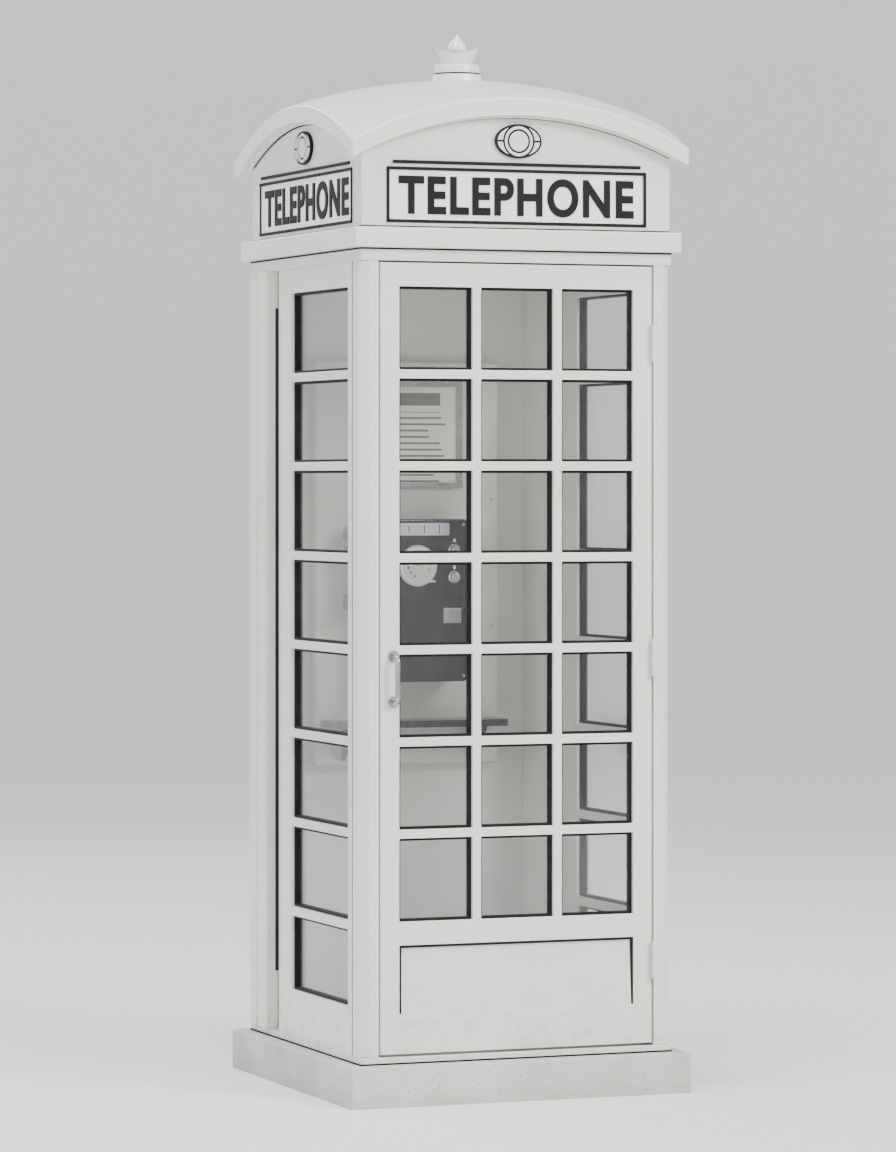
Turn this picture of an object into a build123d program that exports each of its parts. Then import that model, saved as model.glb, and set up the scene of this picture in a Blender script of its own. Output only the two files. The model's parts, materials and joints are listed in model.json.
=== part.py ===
"""Square cast-iron telephone kiosk with a glazed door, domed roof and coin telephone.

Millimetres. +Z is up, the door faces -Y, and the origin is the centre of the plinth's underside.
"""

import os
from math import cos, radians, sin

from build123d import *

# Plinth, body shell and levels
PLINTH_HALF = 450
PLINTH_TOP = 100
BODY_HALF = 411
SILL_TOP = 118
HEAD_BOTTOM = 2054
LINTEL_BOTTOM = 2085
LINTEL_TOP = 2135
LINTEL_HALF = 432
LINTEL_WIDTH = 72
RING_WIDTH = 60
JOINT_GAP = 0.3
FLOOR_TOP = 110
ANCHOR_SPACING = 600
ANCHOR_R = 9
ANCHOR_ACCESS_R = 16
DUCT_R = 25
DUCT_FLOOR_R = 32
DUCT_Y = 290

# Corner posts, piers and back
POST_WIDTH = 47
POST_CHAMFER = 22
STOP_WIDTH = 16
STOP_FRONT = -364
PIER_FRONT = 201
PIER_BROAD = 263
PIER_DEPTH = 70
PIER_PROUD = 8
PIER_RECESS = 24
PIER_WALL = 12
PIER_GROOVE_Y = 342
PIER_GROOVE = 7
BACK_THICK = 18
BACK_SUNK = 6

# Door leaf
DOOR_HALF = 360
DOOR_BOTTOM = 124
DOOR_TOP = 2050
DOOR_FRONT = -408
DOOR_THICK = 40
DOOR_BACK = DOOR_FRONT + DOOR_THICK

# Glazing, shared by the door and the sides
PANE_W = 192
PANE_H = 202
PITCH_X = 214
PITCH_Z = 224
TOP_ROW_Z = 1891
ROWS = 7
GASKET = 6
GASKET_DEPTH = 20
GLASS_THICK = 5
MID_ROW_Z = TOP_ROW_Z - PITCH_Z * (ROWS - 1) / 2

# Side frames
SIDE_THICK = 36
SIDE_PANE_W = 417
SIDE_PANE_Y = -105
LOW_PANE_Z = 329
LOW_PANE_H = 186

# Kick panel
KICK_HALF = 310
KICK_TOP = 388
KICK_BOTTOM = 200
KICK_LEG_END = 222
KICK_BACK = -383
KICK_RECESS = -399

# Door hinges
HINGE_X = 362
HINGE_Y = -419
HINGE_R = 7
HINGE_PIN_R = 3
HINGE_ZS = (330, 1080, 1860)
KNUCKLE = 30
KNUCKLE_GAP = 0.4
LEAF_THICK = 1.5
LEAF_BACK = -374

# Door pull
HANDLE_X = -326
HANDLE_ZS = (980, 1092)
HANDLE_REACH = 31
HANDLE_ROD_R = 6.5

# Fascias, signs and roof
FASCIA_HALF = 408
FASCIA_THICK = 14
SIGN_HALF = 344
SIGN_Z = 2215
SIGN_HALF_H = 68
SIGN_BAR = 8
SIGN_PROUD = 3
BEAD_HALF = 328
BEAD_BOTTOM = 2291
BEAD_TOP = 2299
ROSETTE_Z = 2352
ROSETTE_A = 61
ROSETTE_B = 42
ROSETTE_LINE = 5
ROSETTE_RING = 30
ROSETTE_PLATE = 4
ROOF_HALF = 445
ROOF_CORNER_Z = 2342
ROOF_EDGE_Z = 2456
ROOF_APEX_Z = 2530
RIM_STEP = 44
RIM_THICK = 56
RIM_LOWER_HALF = 422
SHELL_THICK = 16
SHELL_HALF = 385

# Finial
SEAT_Z = 2525
SEAT_R = 65
BASE_TOP_R = 57
GROOVE_Z = 2549
GROOVE = 4
CROWN_Z = 2573
CROWN_TIP_Z = CROWN_Z + 45
CROWN_NOTCH_Z = CROWN_Z + 26
CROWN_TURN = -21
SPIKE_Z = CROWN_Z + 77

# Telephone
BOARD_FRONT = 355
PHONE_FRONT = 235
PHONE_HALF = 125
PHONE_BOTTOM = 1000
PHONE_TOP = 1420
DIAL_X = -18
DIAL_Z = 1300
DIAL_R = 50
WHEEL_R = 41
HOLE_RING_R = 29
HOLE_R = 6.5
BUTTON_X = 85
BUTTON_ZS = {"button_a": 1340, "button_b": 1270}
BUTTON_R = 11
CUP_X = 80
CUP_HALF = 25
CUP_BOTTOM = 1150
CUP_TOP = 1192
CASH_HALF = 85
CASH_BOTTOM = 1025
CASH_TOP = 1125
CASH_PIVOT_X = -93
CASH_PIVOT_Y = 230.5
LOCK_X = 62
LOCK_R = 9
HOOK_Z = 1344
HANDSET_X = -172
HANDSET_Y = 288
EAR_Z = 1380
MOUTH_Z = 1205
RUN_CLEARANCE = 0.05

FACINGS = {"front": 0, "right": 90, "back": 180, "left": 270}

os.makedirs("parts", exist_ok=True)


def save(builder, name):
    """Label a finished piece and write its file."""
    builder.part.label = name
    export_step(builder.part, f"parts/{name}.step")


def block(x, y, z, mode=Mode.ADD):
    """Rectangular block between pairs of limits, in the part being built."""
    with Locations((sum(x) / 2, sum(y) / 2, sum(z) / 2)):
        Box(abs(x[1] - x[0]), abs(y[1] - y[0]), abs(z[1] - z[0]), mode=mode)


def facing(angle, half):
    """Plane on one face of the kiosk: local x runs to the right of a viewer, local y is up."""
    turn = radians(angle)
    return Plane(
        origin=(half * sin(turn), -half * cos(turn), 0),
        x_dir=(cos(turn), sin(turn), 0),
        z_dir=(sin(turn), -cos(turn), 0),
    )


# Base


def make_plinth():
    with BuildPart() as plinth:
        block((-PLINTH_HALF, PLINTH_HALF), (-PLINTH_HALF, PLINTH_HALF), (0, PLINTH_TOP))
        chamfer(plinth.faces().sort_by(Axis.Z)[-1].edges(), length=5)
        chamfer(plinth.edges().filter_by(Axis.Z), length=4)
        with GridLocations(ANCHOR_SPACING, ANCHOR_SPACING, 2, 2):
            Cylinder(ANCHOR_R, 3 * PLINTH_TOP, mode=Mode.SUBTRACT)
        with Locations((0, DUCT_Y)):
            Cylinder(DUCT_R, 3 * PLINTH_TOP, mode=Mode.SUBTRACT)
    save(plinth, "plinth")


def make_floor_panel():
    inner = BODY_HALF - RING_WIDTH
    with BuildPart() as floor:
        block((-inner, inner), (-inner, inner), (PLINTH_TOP, FLOOR_TOP))
        with GridLocations(ANCHOR_SPACING, ANCHOR_SPACING, 2, 2):
            Cylinder(ANCHOR_ACCESS_R, 3 * FLOOR_TOP, mode=Mode.SUBTRACT)
        with Locations((0, DUCT_Y)):
            Cylinder(DUCT_FLOOR_R, 3 * FLOOR_TOP, mode=Mode.SUBTRACT)
    save(floor, "floor_panel")


def ring_bars(half, width, bottom, top):
    """Four bars of a square ring, with a hairline joint at each end of the side bars."""
    inner = half - width
    joint = inner - JOINT_GAP
    for side in (-1, 1):
        block((-half, half), (side * inner, side * half), (bottom, top))
        block((side * inner, side * half), (-joint, joint), (bottom, top))


def make_rings():
    """Sill frame on the plinth, head frame over the posts, and the lintel."""
    inner = BODY_HALF - RING_WIDTH
    opening = BODY_HALF - POST_WIDTH - STOP_WIDTH
    with BuildPart() as sill:
        ring_bars(BODY_HALF, RING_WIDTH, PLINTH_TOP, SILL_TOP)
    save(sill, "sill_frame")
    with BuildPart() as head:
        ring_bars(BODY_HALF, RING_WIDTH, HEAD_BOTTOM, LINTEL_BOTTOM)
        block((-opening, opening), (STOP_FRONT, -inner), (HEAD_BOTTOM - STOP_WIDTH, HEAD_BOTTOM))
    save(head, "head_frame")
    with BuildPart() as lintel:
        ring_bars(LINTEL_HALF, LINTEL_WIDTH, LINTEL_BOTTOM, LINTEL_TOP)
    save(lintel, "lintel")


# Upright structure


def make_front_post(side, name):
    """Corner post with a chamfered outer corner and a stop for the door behind the leaf."""
    outer = BODY_HALF
    inner = BODY_HALF - POST_WIDTH
    back = -(BODY_HALF - RING_WIDTH)
    outline = [
        (outer - POST_CHAMFER, -outer),
        (inner, -outer),
        (inner, STOP_FRONT),
        (inner - STOP_WIDTH, STOP_FRONT),
        (inner - STOP_WIDTH, back),
        (outer, back),
        (outer, -outer + POST_CHAMFER),
    ]
    with BuildPart() as post:
        with BuildSketch(Plane.XY.offset(SILL_TOP)):
            with BuildLine():
                Polyline([(side * x, y) for x, y in outline], close=True)
            make_face()
        extrude(amount=HEAD_BOTTOM - SILL_TOP)
    save(post, name)


def make_rear_pier(side, name):
    """Broad hollow rear pier, a little proud, with a recessed jamb in front and a groove down its side."""
    outer = BODY_HALF + PIER_PROUD
    inner = BODY_HALF - PIER_DEPTH
    recess = BODY_HALF - PIER_RECESS
    outline = [
        (inner, PIER_FRONT),
        (recess, PIER_FRONT),
        (recess, PIER_BROAD),
        (outer, PIER_BROAD),
        (outer, outer - POST_CHAMFER),
        (outer - POST_CHAMFER, outer),
        (inner, outer),
    ]
    hollow_x = (side * (inner + PIER_WALL), side * (BODY_HALF - PIER_WALL))
    hollow_y = (PIER_BROAD + PIER_WALL, BODY_HALF - PIER_WALL)
    with BuildPart() as pier:
        with BuildSketch(Plane.XY.offset(SILL_TOP)):
            with BuildLine():
                Polyline([(side * x, y) for x, y in outline], close=True)
            make_face()
            with Locations((side * outer, PIER_GROOVE_Y)):
                Rectangle(2 * PIER_GROOVE, PIER_GROOVE, mode=Mode.SUBTRACT)
        extrude(amount=HEAD_BOTTOM - SILL_TOP)
        block(hollow_x, hollow_y, (SILL_TOP, HEAD_BOTTOM - PIER_WALL), Mode.SUBTRACT)
    save(pier, name)


def make_back_panel():
    """Solid back with a raised border round a sunk field."""
    half = BODY_HALF - PIER_DEPTH
    field = (SILL_TOP + 90, HEAD_BOTTOM - 60)
    with BuildPart() as back:
        block((-half, half), (BODY_HALF - BACK_THICK, BODY_HALF), (SILL_TOP, HEAD_BOTTOM))
        block((-half + 60, half - 60), (BODY_HALF - BACK_SUNK, BODY_HALF), field, Mode.SUBTRACT)
    save(back, "back_panel")


# Side glazing


def side_rows():
    """Centre height and opening height of each pane in a side frame."""
    rows = [(TOP_ROW_Z - PITCH_Z * row, PANE_H) for row in range(ROWS)]
    return rows + [(LOW_PANE_Z, LOW_PANE_H)]


def make_side(side, name):
    """Glazed side frame with its gaskets and panes."""
    outer = BODY_HALF - 2
    inner = outer - SIDE_THICK
    middle = side * (outer + inner) / 2
    y_limits = (-(BODY_HALF - RING_WIDTH), PIER_FRONT)
    with BuildPart() as frame:
        block((side * inner, side * outer), y_limits, (SILL_TOP, HEAD_BOTTOM))
        for z, height in side_rows():
            with Locations((middle, SIDE_PANE_Y, z)):
                Box(2 * SIDE_THICK, SIDE_PANE_W, height, mode=Mode.SUBTRACT)
    save(frame, f"side_frame_{name}")
    with BuildPart() as gaskets:
        for z, height in side_rows():
            with Locations((middle, SIDE_PANE_Y, z)):
                Box(GASKET_DEPTH, SIDE_PANE_W, height)
                Box(GASKET_DEPTH, SIDE_PANE_W - 2 * GASKET, height - 2 * GASKET, mode=Mode.SUBTRACT)
    save(gaskets, f"side_gaskets_{name}")
    with BuildPart() as panes:
        for z, height in side_rows():
            with Locations((middle, SIDE_PANE_Y, z)):
                Box(GLASS_THICK, SIDE_PANE_W - 2 * GASKET, height - 2 * GASKET)
    save(panes, f"side_panes_{name}")


# Door


def make_door_frame():
    """Cast leaf with three by seven openings and a pocket for the kick panel."""
    with BuildPart() as leaf:
        block((-DOOR_HALF, DOOR_HALF), (DOOR_FRONT, DOOR_BACK), (DOOR_BOTTOM, DOOR_TOP))
        with Locations((0, DOOR_FRONT + DOOR_THICK / 2, MID_ROW_Z)):
            with GridLocations(PITCH_X, PITCH_X, 3, 1):
                for row in range(ROWS):
                    with Locations((0, 0, PITCH_Z * (row - (ROWS - 1) / 2))):
                        Box(PANE_W, 2 * DOOR_THICK, PANE_H, mode=Mode.SUBTRACT)
        block((-KICK_HALF, KICK_HALF), (DOOR_FRONT, KICK_BACK), (KICK_BOTTOM, KICK_TOP), Mode.SUBTRACT)
    save(leaf, "door_frame")


def door_cells():
    """Centres of the door's openings."""
    y = DOOR_FRONT + DOOR_THICK / 2
    columns = (-PITCH_X, 0, PITCH_X)
    return [(x, y, TOP_ROW_Z - PITCH_Z * row) for row in range(ROWS) for x in columns]


def make_door_glazing():
    with BuildPart() as gaskets:
        with Locations(*door_cells()):
            Box(PANE_W, GASKET_DEPTH, PANE_H)
            Box(PANE_W - 2 * GASKET, GASKET_DEPTH, PANE_H - 2 * GASKET, mode=Mode.SUBTRACT)
    save(gaskets, "door_gaskets")
    with BuildPart() as panes:
        with Locations(*door_cells()):
            Box(PANE_W - 2 * GASKET, GLASS_THICK, PANE_H - 2 * GASKET)
    save(panes, "door_panes")


def make_kick_panel():
    """Panel set in the leaf's pocket: its face slopes out to meet the leaf at the foot."""
    outline = [
        (KICK_BACK, KICK_BOTTOM),
        (DOOR_FRONT, KICK_BOTTOM),
        (KICK_RECESS, KICK_TOP),
        (KICK_BACK, KICK_TOP),
    ]
    limits = (DOOR_FRONT - 1, KICK_BACK)
    with BuildPart() as panel:
        with BuildSketch(Plane.YZ.offset(-KICK_HALF)):
            with BuildLine():
                Polyline(outline, close=True)
            make_face()
        extrude(amount=2 * KICK_HALF)
        block((-KICK_HALF, KICK_HALF), limits, (KICK_TOP - GASKET, KICK_TOP), Mode.SUBTRACT)
        for side in (-1, 1):
            edge = (side * (KICK_HALF - GASKET), side * KICK_HALF)
            block(edge, limits, (KICK_LEG_END, KICK_TOP), Mode.SUBTRACT)
    save(panel, "kick_panel")


def make_kick_seal():
    """Inverted U of sealing strip round the kick panel: a top strip and two legs."""
    depth = (DOOR_FRONT + 3, KICK_BACK)
    with BuildPart() as seal:
        block((-KICK_HALF, KICK_HALF), depth, (KICK_TOP - GASKET, KICK_TOP))
        for side in (-1, 1):
            edge = (side * (KICK_HALF - GASKET), side * KICK_HALF)
            block(edge, depth, (KICK_LEG_END, KICK_TOP - GASKET))
    save(seal, "kick_seal")


def make_door_handle():
    """Vertical D-shaped pull: a round bar bent back into two roses on the left stile."""
    front = DOOR_FRONT - HANDLE_REACH
    low, high = HANDLE_ZS
    with BuildPart() as handle:
        with BuildLine() as path:
            Polyline(
                (HANDLE_X, DOOR_FRONT, low),
                (HANDLE_X, front, low),
                (HANDLE_X, front, high),
                (HANDLE_X, DOOR_FRONT, high),
            )
            fillet(path.vertices().group_by(Axis.Y)[0], radius=16)
        with BuildSketch(Plane(origin=(HANDLE_X, DOOR_FRONT, low), z_dir=(0, -1, 0))):
            Circle(HANDLE_ROD_R)
        sweep()
        for z in HANDLE_ZS:
            with Locations(Location((HANDLE_X, DOOR_FRONT - 2, z), (90, 0, 0))):
                Cylinder(14, 4)
    save(handle, "door_handle")


def make_handle_nuts():
    """Two domed nuts that hold the pull from inside the leaf."""
    with BuildPart() as nuts:
        for z in HANDLE_ZS:
            with Locations(Location((HANDLE_X, DOOR_BACK + 3, z), (90, 0, 0))):
                Cylinder(8, 6)
        fillet(nuts.faces().group_by(Axis.Y)[-1].edges(), radius=2.5)
    save(nuts, "handle_nuts")


def knuckle_spans(z):
    """Height limits of the two outer knuckles and the middle one of a hinge centred on z."""
    half = KNUCKLE / 2
    outer = [(z - half - KNUCKLE, z - half - KNUCKLE_GAP), (z + half + KNUCKLE_GAP, z + half + KNUCKLE)]
    return outer, (z - half, z + half)


def make_hinges():
    """Three butt hinges: leaves on the post, leaves on the door, and pins."""
    with BuildPart() as frame_leaves:
        for z in HINGE_ZS:
            outer, _ = knuckle_spans(z)
            plate = (HINGE_X + 0.5, HINGE_X + 0.5 + LEAF_THICK)
            for low, high in outer:
                with Locations((HINGE_X, HINGE_Y, (low + high) / 2)):
                    Cylinder(HINGE_R, high - low)
                block(plate, (HINGE_Y, LEAF_BACK), (low, high))
        for z in HINGE_ZS:
            with Locations((HINGE_X, HINGE_Y, z)):
                Cylinder(HINGE_PIN_R, 4 * KNUCKLE, mode=Mode.SUBTRACT)
    save(frame_leaves, "hinge_leaves_frame")
    with BuildPart() as door_leaves:
        for z in HINGE_ZS:
            _, (low, high) = knuckle_spans(z)
            with Locations((HINGE_X, HINGE_Y, z)):
                Cylinder(HINGE_R, high - low)
            block((HINGE_X - 2, HINGE_X - 2 + LEAF_THICK), (HINGE_Y, LEAF_BACK), (low, high))
            with Locations((HINGE_X, HINGE_Y, z)):
                Cylinder(HINGE_PIN_R + RUN_CLEARANCE, 4 * KNUCKLE, mode=Mode.SUBTRACT)
    save(door_leaves, "hinge_leaves_door")
    with BuildPart() as pins:
        for z in HINGE_ZS:
            with Locations((HINGE_X, HINGE_Y, z)):
                Cylinder(HINGE_PIN_R, 3 * KNUCKLE)
            for side in (-1, 1):
                with Locations((HINGE_X, HINGE_Y, z + side * (1.5 * KNUCKLE + 1.5))):
                    Cylinder(HINGE_R - 2, 3)
    save(pins, "hinge_pins")


def make_door_seal():
    """Rubber strips on the stops, just clear of the closed leaf."""
    inner = BODY_HALF - POST_WIDTH
    depth = (DOOR_BACK + 0.3, STOP_FRONT)
    with BuildPart() as seal:
        for side in (-1, 1):
            block((side * (inner - 13), side * (inner - 5)), depth, (SILL_TOP + 8, HEAD_BOTTOM - 14))
        block((-inner + 16, inner - 16), depth, (HEAD_BOTTOM - 13, HEAD_BOTTOM - 5))
    save(seal, "door_seal")


# Head


def roof_layer(top_drop, bottom_drop, half):
    """Curved layer between two depths below the roof's outer surface, trimmed to a square."""
    sections = (
        (-ROOF_HALF, ROOF_CORNER_Z, ROOF_EDGE_Z),
        (0, ROOF_EDGE_Z, ROOF_APEX_Z),
        (ROOF_HALF, ROOF_CORNER_Z, ROOF_EDGE_Z),
    )
    with BuildPart() as layer:
        for y, end_z, crown_z in sections:
            with BuildSketch(Plane.XZ.offset(-y)):
                with BuildLine():
                    ThreePointArc(
                        (-ROOF_HALF, end_z - top_drop), (0, crown_z - top_drop), (ROOF_HALF, end_z - top_drop)
                    )
                    Line((ROOF_HALF, end_z - top_drop), (ROOF_HALF, end_z - bottom_drop))
                    ThreePointArc(
                        (ROOF_HALF, end_z - bottom_drop), (0, crown_z - bottom_drop), (-ROOF_HALF, end_z - bottom_drop)
                    )
                    Line((-ROOF_HALF, end_z - bottom_drop), (-ROOF_HALF, end_z - top_drop))
                make_face()
        loft()
        if half < ROOF_HALF:
            with Locations((0, 0, ROOF_CORNER_Z)):
                Box(2 * half, 2 * half, 4 * RIM_THICK + 2 * half, mode=Mode.INTERSECT)
    return layer.part


def make_fascia(name, angle):
    """Segment-topped panel over the lintel with an opening for its lit sign."""
    half = FASCIA_HALF if name in ("front", "back") else FASCIA_HALF - FASCIA_THICK
    opening = (2 * (SIGN_HALF - SIGN_BAR), 2 * (SIGN_HALF_H - SIGN_BAR))
    with BuildPart() as fascia:
        with BuildSketch(facing(angle, FASCIA_HALF)):
            with Locations((0, (LINTEL_TOP + ROOF_EDGE_Z) / 2)):
                Rectangle(2 * half, ROOF_EDGE_Z - LINTEL_TOP)
            with Locations((0, SIGN_Z)):
                Rectangle(*opening, mode=Mode.SUBTRACT)
        extrude(amount=-FASCIA_THICK)
        add(roof_layer(ROOF_CORNER_Z - ROOF_EDGE_Z - 1, RIM_THICK, ROOF_HALF), mode=Mode.SUBTRACT)
    save(fascia, f"fascia_{name}")


def make_signs():
    """Frames, opal glasses and the thin bead over each sign."""
    with BuildPart() as frames:
        for angle in FACINGS.values():
            with BuildSketch(facing(angle, FASCIA_HALF)):
                with Locations((0, SIGN_Z)):
                    Rectangle(2 * SIGN_HALF, 2 * SIGN_HALF_H)
                    Rectangle(2 * (SIGN_HALF - SIGN_BAR), 2 * (SIGN_HALF_H - SIGN_BAR), mode=Mode.SUBTRACT)
        extrude(amount=SIGN_PROUD)
    save(frames, "sign_frames")
    with BuildPart() as glasses:
        for angle in FACINGS.values():
            with BuildSketch(facing(angle, FASCIA_HALF - 3)):
                with Locations((0, SIGN_Z)):
                    Rectangle(2 * (SIGN_HALF - SIGN_BAR), 2 * (SIGN_HALF_H - SIGN_BAR))
        extrude(amount=-6)
    save(glasses, "sign_glasses")
    with BuildPart() as beads:
        for angle in FACINGS.values():
            with BuildSketch(facing(angle, FASCIA_HALF)):
                with Locations((0, (BEAD_BOTTOM + BEAD_TOP) / 2)):
                    Rectangle(2 * BEAD_HALF, BEAD_TOP - BEAD_BOTTOM)
        extrude(amount=6)
    save(beads, "fascia_beads")


def make_rosettes():
    """Oval rosette on each fascia: backing plate, and on it a disc, a ring and split crescents."""
    with BuildPart() as plates:
        for angle in FACINGS.values():
            with BuildSketch(facing(angle, FASCIA_HALF)):
                with Locations((0, ROSETTE_Z)):
                    Ellipse(ROSETTE_A, ROSETTE_B)
        extrude(amount=ROSETTE_PLATE)
    save(plates, "rosette_plates")
    rim = (ROSETTE_A - ROSETTE_LINE, ROSETTE_B - ROSETTE_LINE)
    with BuildPart() as rosettes:
        for angle in FACINGS.values():
            with BuildSketch(facing(angle, FASCIA_HALF + ROSETTE_PLATE)):
                with Locations((0, ROSETTE_Z)):
                    Ellipse(*rim)
                    Circle(ROSETTE_B, mode=Mode.SUBTRACT)
                    Rectangle(2 * ROSETTE_A, ROSETTE_LINE, mode=Mode.SUBTRACT)
                    Circle(ROSETTE_B - ROSETTE_LINE)
                    Circle(ROSETTE_RING, mode=Mode.SUBTRACT)
                    Circle(ROSETTE_RING - ROSETTE_LINE)
        extrude(amount=5)
    save(rosettes, "rosettes")


def make_roof():
    """Domed roof shell with a stepped rim and a flat seat for the finial."""
    with BuildPart() as roof:
        add(roof_layer(0, RIM_STEP, ROOF_HALF))
        add(roof_layer(RIM_STEP - 1, RIM_THICK, RIM_LOWER_HALF))
        add(roof_layer(SHELL_THICK, 3 * RIM_THICK, SHELL_HALF), mode=Mode.SUBTRACT)
        with Locations((0, 0, SEAT_Z + 20)):
            Cylinder(SEAT_R, 40, mode=Mode.SUBTRACT)
        with Locations((0, 0, SEAT_Z)):
            Cylinder(8, 100, mode=Mode.SUBTRACT)
    save(roof, "roof_dome")


def make_finial():
    """Tapered round base with a groove and a bolt spigot, and a crown of two leaves and a bud."""
    taper = (SEAT_R - BASE_TOP_R) / (CROWN_Z - SEAT_Z)
    groove_r = SEAT_R - taper * (GROOVE_Z - SEAT_Z)
    profile = [
        (0, SEAT_Z - 30),
        (8, SEAT_Z - 30),
        (8, SEAT_Z),
        (SEAT_R, SEAT_Z),
        (groove_r, GROOVE_Z - GROOVE / 2),
        (groove_r - GROOVE, GROOVE_Z - GROOVE / 2),
        (groove_r - GROOVE, GROOVE_Z + GROOVE / 2),
        (groove_r - 2, GROOVE_Z + GROOVE / 2),
        (BASE_TOP_R, CROWN_Z - 3),
        (BASE_TOP_R - 4, CROWN_Z),
        (0, CROWN_Z),
    ]
    with BuildPart() as base:
        with BuildSketch(Plane.XZ):
            with BuildLine():
                Polyline(profile, close=True)
            make_face()
        revolve(axis=Axis.Z)
    save(base, "finial_base")

    floor = CROWN_Z + 8
    reach = 58
    with BuildPart() as gap:
        with BuildSketch(facing(CROWN_TURN, 0)):
            with BuildLine():
                ThreePointArc((-reach, CROWN_TIP_Z), (-38, CROWN_NOTCH_Z + 9), (-12, CROWN_NOTCH_Z))
                Line((-12, CROWN_NOTCH_Z), (12, CROWN_NOTCH_Z))
                ThreePointArc((12, CROWN_NOTCH_Z), (38, CROWN_NOTCH_Z + 9), (reach, CROWN_TIP_Z))
                Polyline((reach, CROWN_TIP_Z), (reach, SPIKE_Z), (-reach, SPIKE_Z), (-reach, CROWN_TIP_Z))
            make_face()
        extrude(amount=80, both=True)
        with Locations((0, 0, CROWN_TIP_Z)):
            Cylinder(29, 160, mode=Mode.SUBTRACT)
    cup = [(39, CROWN_Z), (57, CROWN_TIP_Z), (53, CROWN_TIP_Z), (32, floor), (14, floor), (11, CROWN_NOTCH_Z)]
    with BuildPart() as crown:
        with BuildSketch(Plane.XZ):
            with BuildLine():
                Polyline((2, SPIKE_Z), (0, SPIKE_Z), (0, CROWN_Z), *cup)
                Spline((11, CROWN_NOTCH_Z), (25, CROWN_NOTCH_Z + 14), (13, CROWN_NOTCH_Z + 36), (2, SPIKE_Z))
            make_face()
        revolve(axis=Axis.Z)
        add(gap.part, mode=Mode.SUBTRACT)
    save(crown, "finial_crown")


def make_ceiling():
    half = FASCIA_HALF - FASCIA_THICK
    with BuildPart() as ceiling:
        block((-half, half), (-half, half), (LINTEL_TOP, LINTEL_TOP + 5))
    save(ceiling, "ceiling_panel")
    with BuildPart() as holder:
        with Locations((0, 0, LINTEL_TOP - 7)):
            Cylinder(88, 14)
        fillet(holder.edges().group_by(Axis.Z)[0], radius=4)
    save(holder, "lamp_holder")
    with BuildPart() as globe:
        with BuildSketch(Plane.XZ):
            with BuildLine():
                Line((0, LINTEL_TOP - 14), (76, LINTEL_TOP - 14))
                Spline((76, LINTEL_TOP - 14), (60, LINTEL_TOP - 38), (0, LINTEL_TOP - 50), tangents=((0, -1), (-1, 0)))
                Line((0, LINTEL_TOP - 50), (0, LINTEL_TOP - 14))
            make_face()
        revolve(axis=Axis.Z)
    save(globe, "lamp_globe")


# Inside


def make_backboard():
    inner_face = BODY_HALF - BACK_THICK
    with BuildPart() as board:
        block((-255, 255), (BOARD_FRONT, inner_face), (780, 1830))
        chamfer(board.faces().sort_by(Axis.Y)[0].edges(), length=4)
    save(board, "backboard")


def make_notice():
    """Notice card held in a plain frame above the telephone."""
    half = 150
    low = 1500
    high = 1780
    bar = 16
    with BuildPart() as frame:
        block((-half, half), (BOARD_FRONT - 12, BOARD_FRONT), (low, high))
        block((-half + bar, half - bar), (BOARD_FRONT - 12, BOARD_FRONT), (low + bar, high - bar), Mode.SUBTRACT)
    save(frame, "notice_frame")
    with BuildPart() as card:
        block((-half + bar, half - bar), (BOARD_FRONT - 4, BOARD_FRONT), (low + bar, high - bar))
    save(card, "notice_card")


def make_shelf():
    """Shelf under the telephone on two gusset brackets."""
    front = 232
    top = 900
    thick = 18
    with BuildPart() as shelf:
        block((-240, 240), (front, BOARD_FRONT), (top - thick, top))
        fillet(shelf.edges().filter_by(Axis.Z).group_by(Axis.Y)[0], radius=20)
    save(shelf, "shelf")
    outline = [
        (BOARD_FRONT, top - thick),
        (front + 25, top - thick),
        (front + 25, top - thick - 8),
        (BOARD_FRONT - 8, top - thick - 90),
        (BOARD_FRONT, top - thick - 90),
    ]
    with BuildPart() as brackets:
        for x in (-180, 180):
            with BuildSketch(Plane.YZ.offset(x - 4)):
                with BuildLine():
                    Polyline(outline, close=True)
                make_face()
        extrude(amount=8)
    save(brackets, "shelf_brackets")


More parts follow.
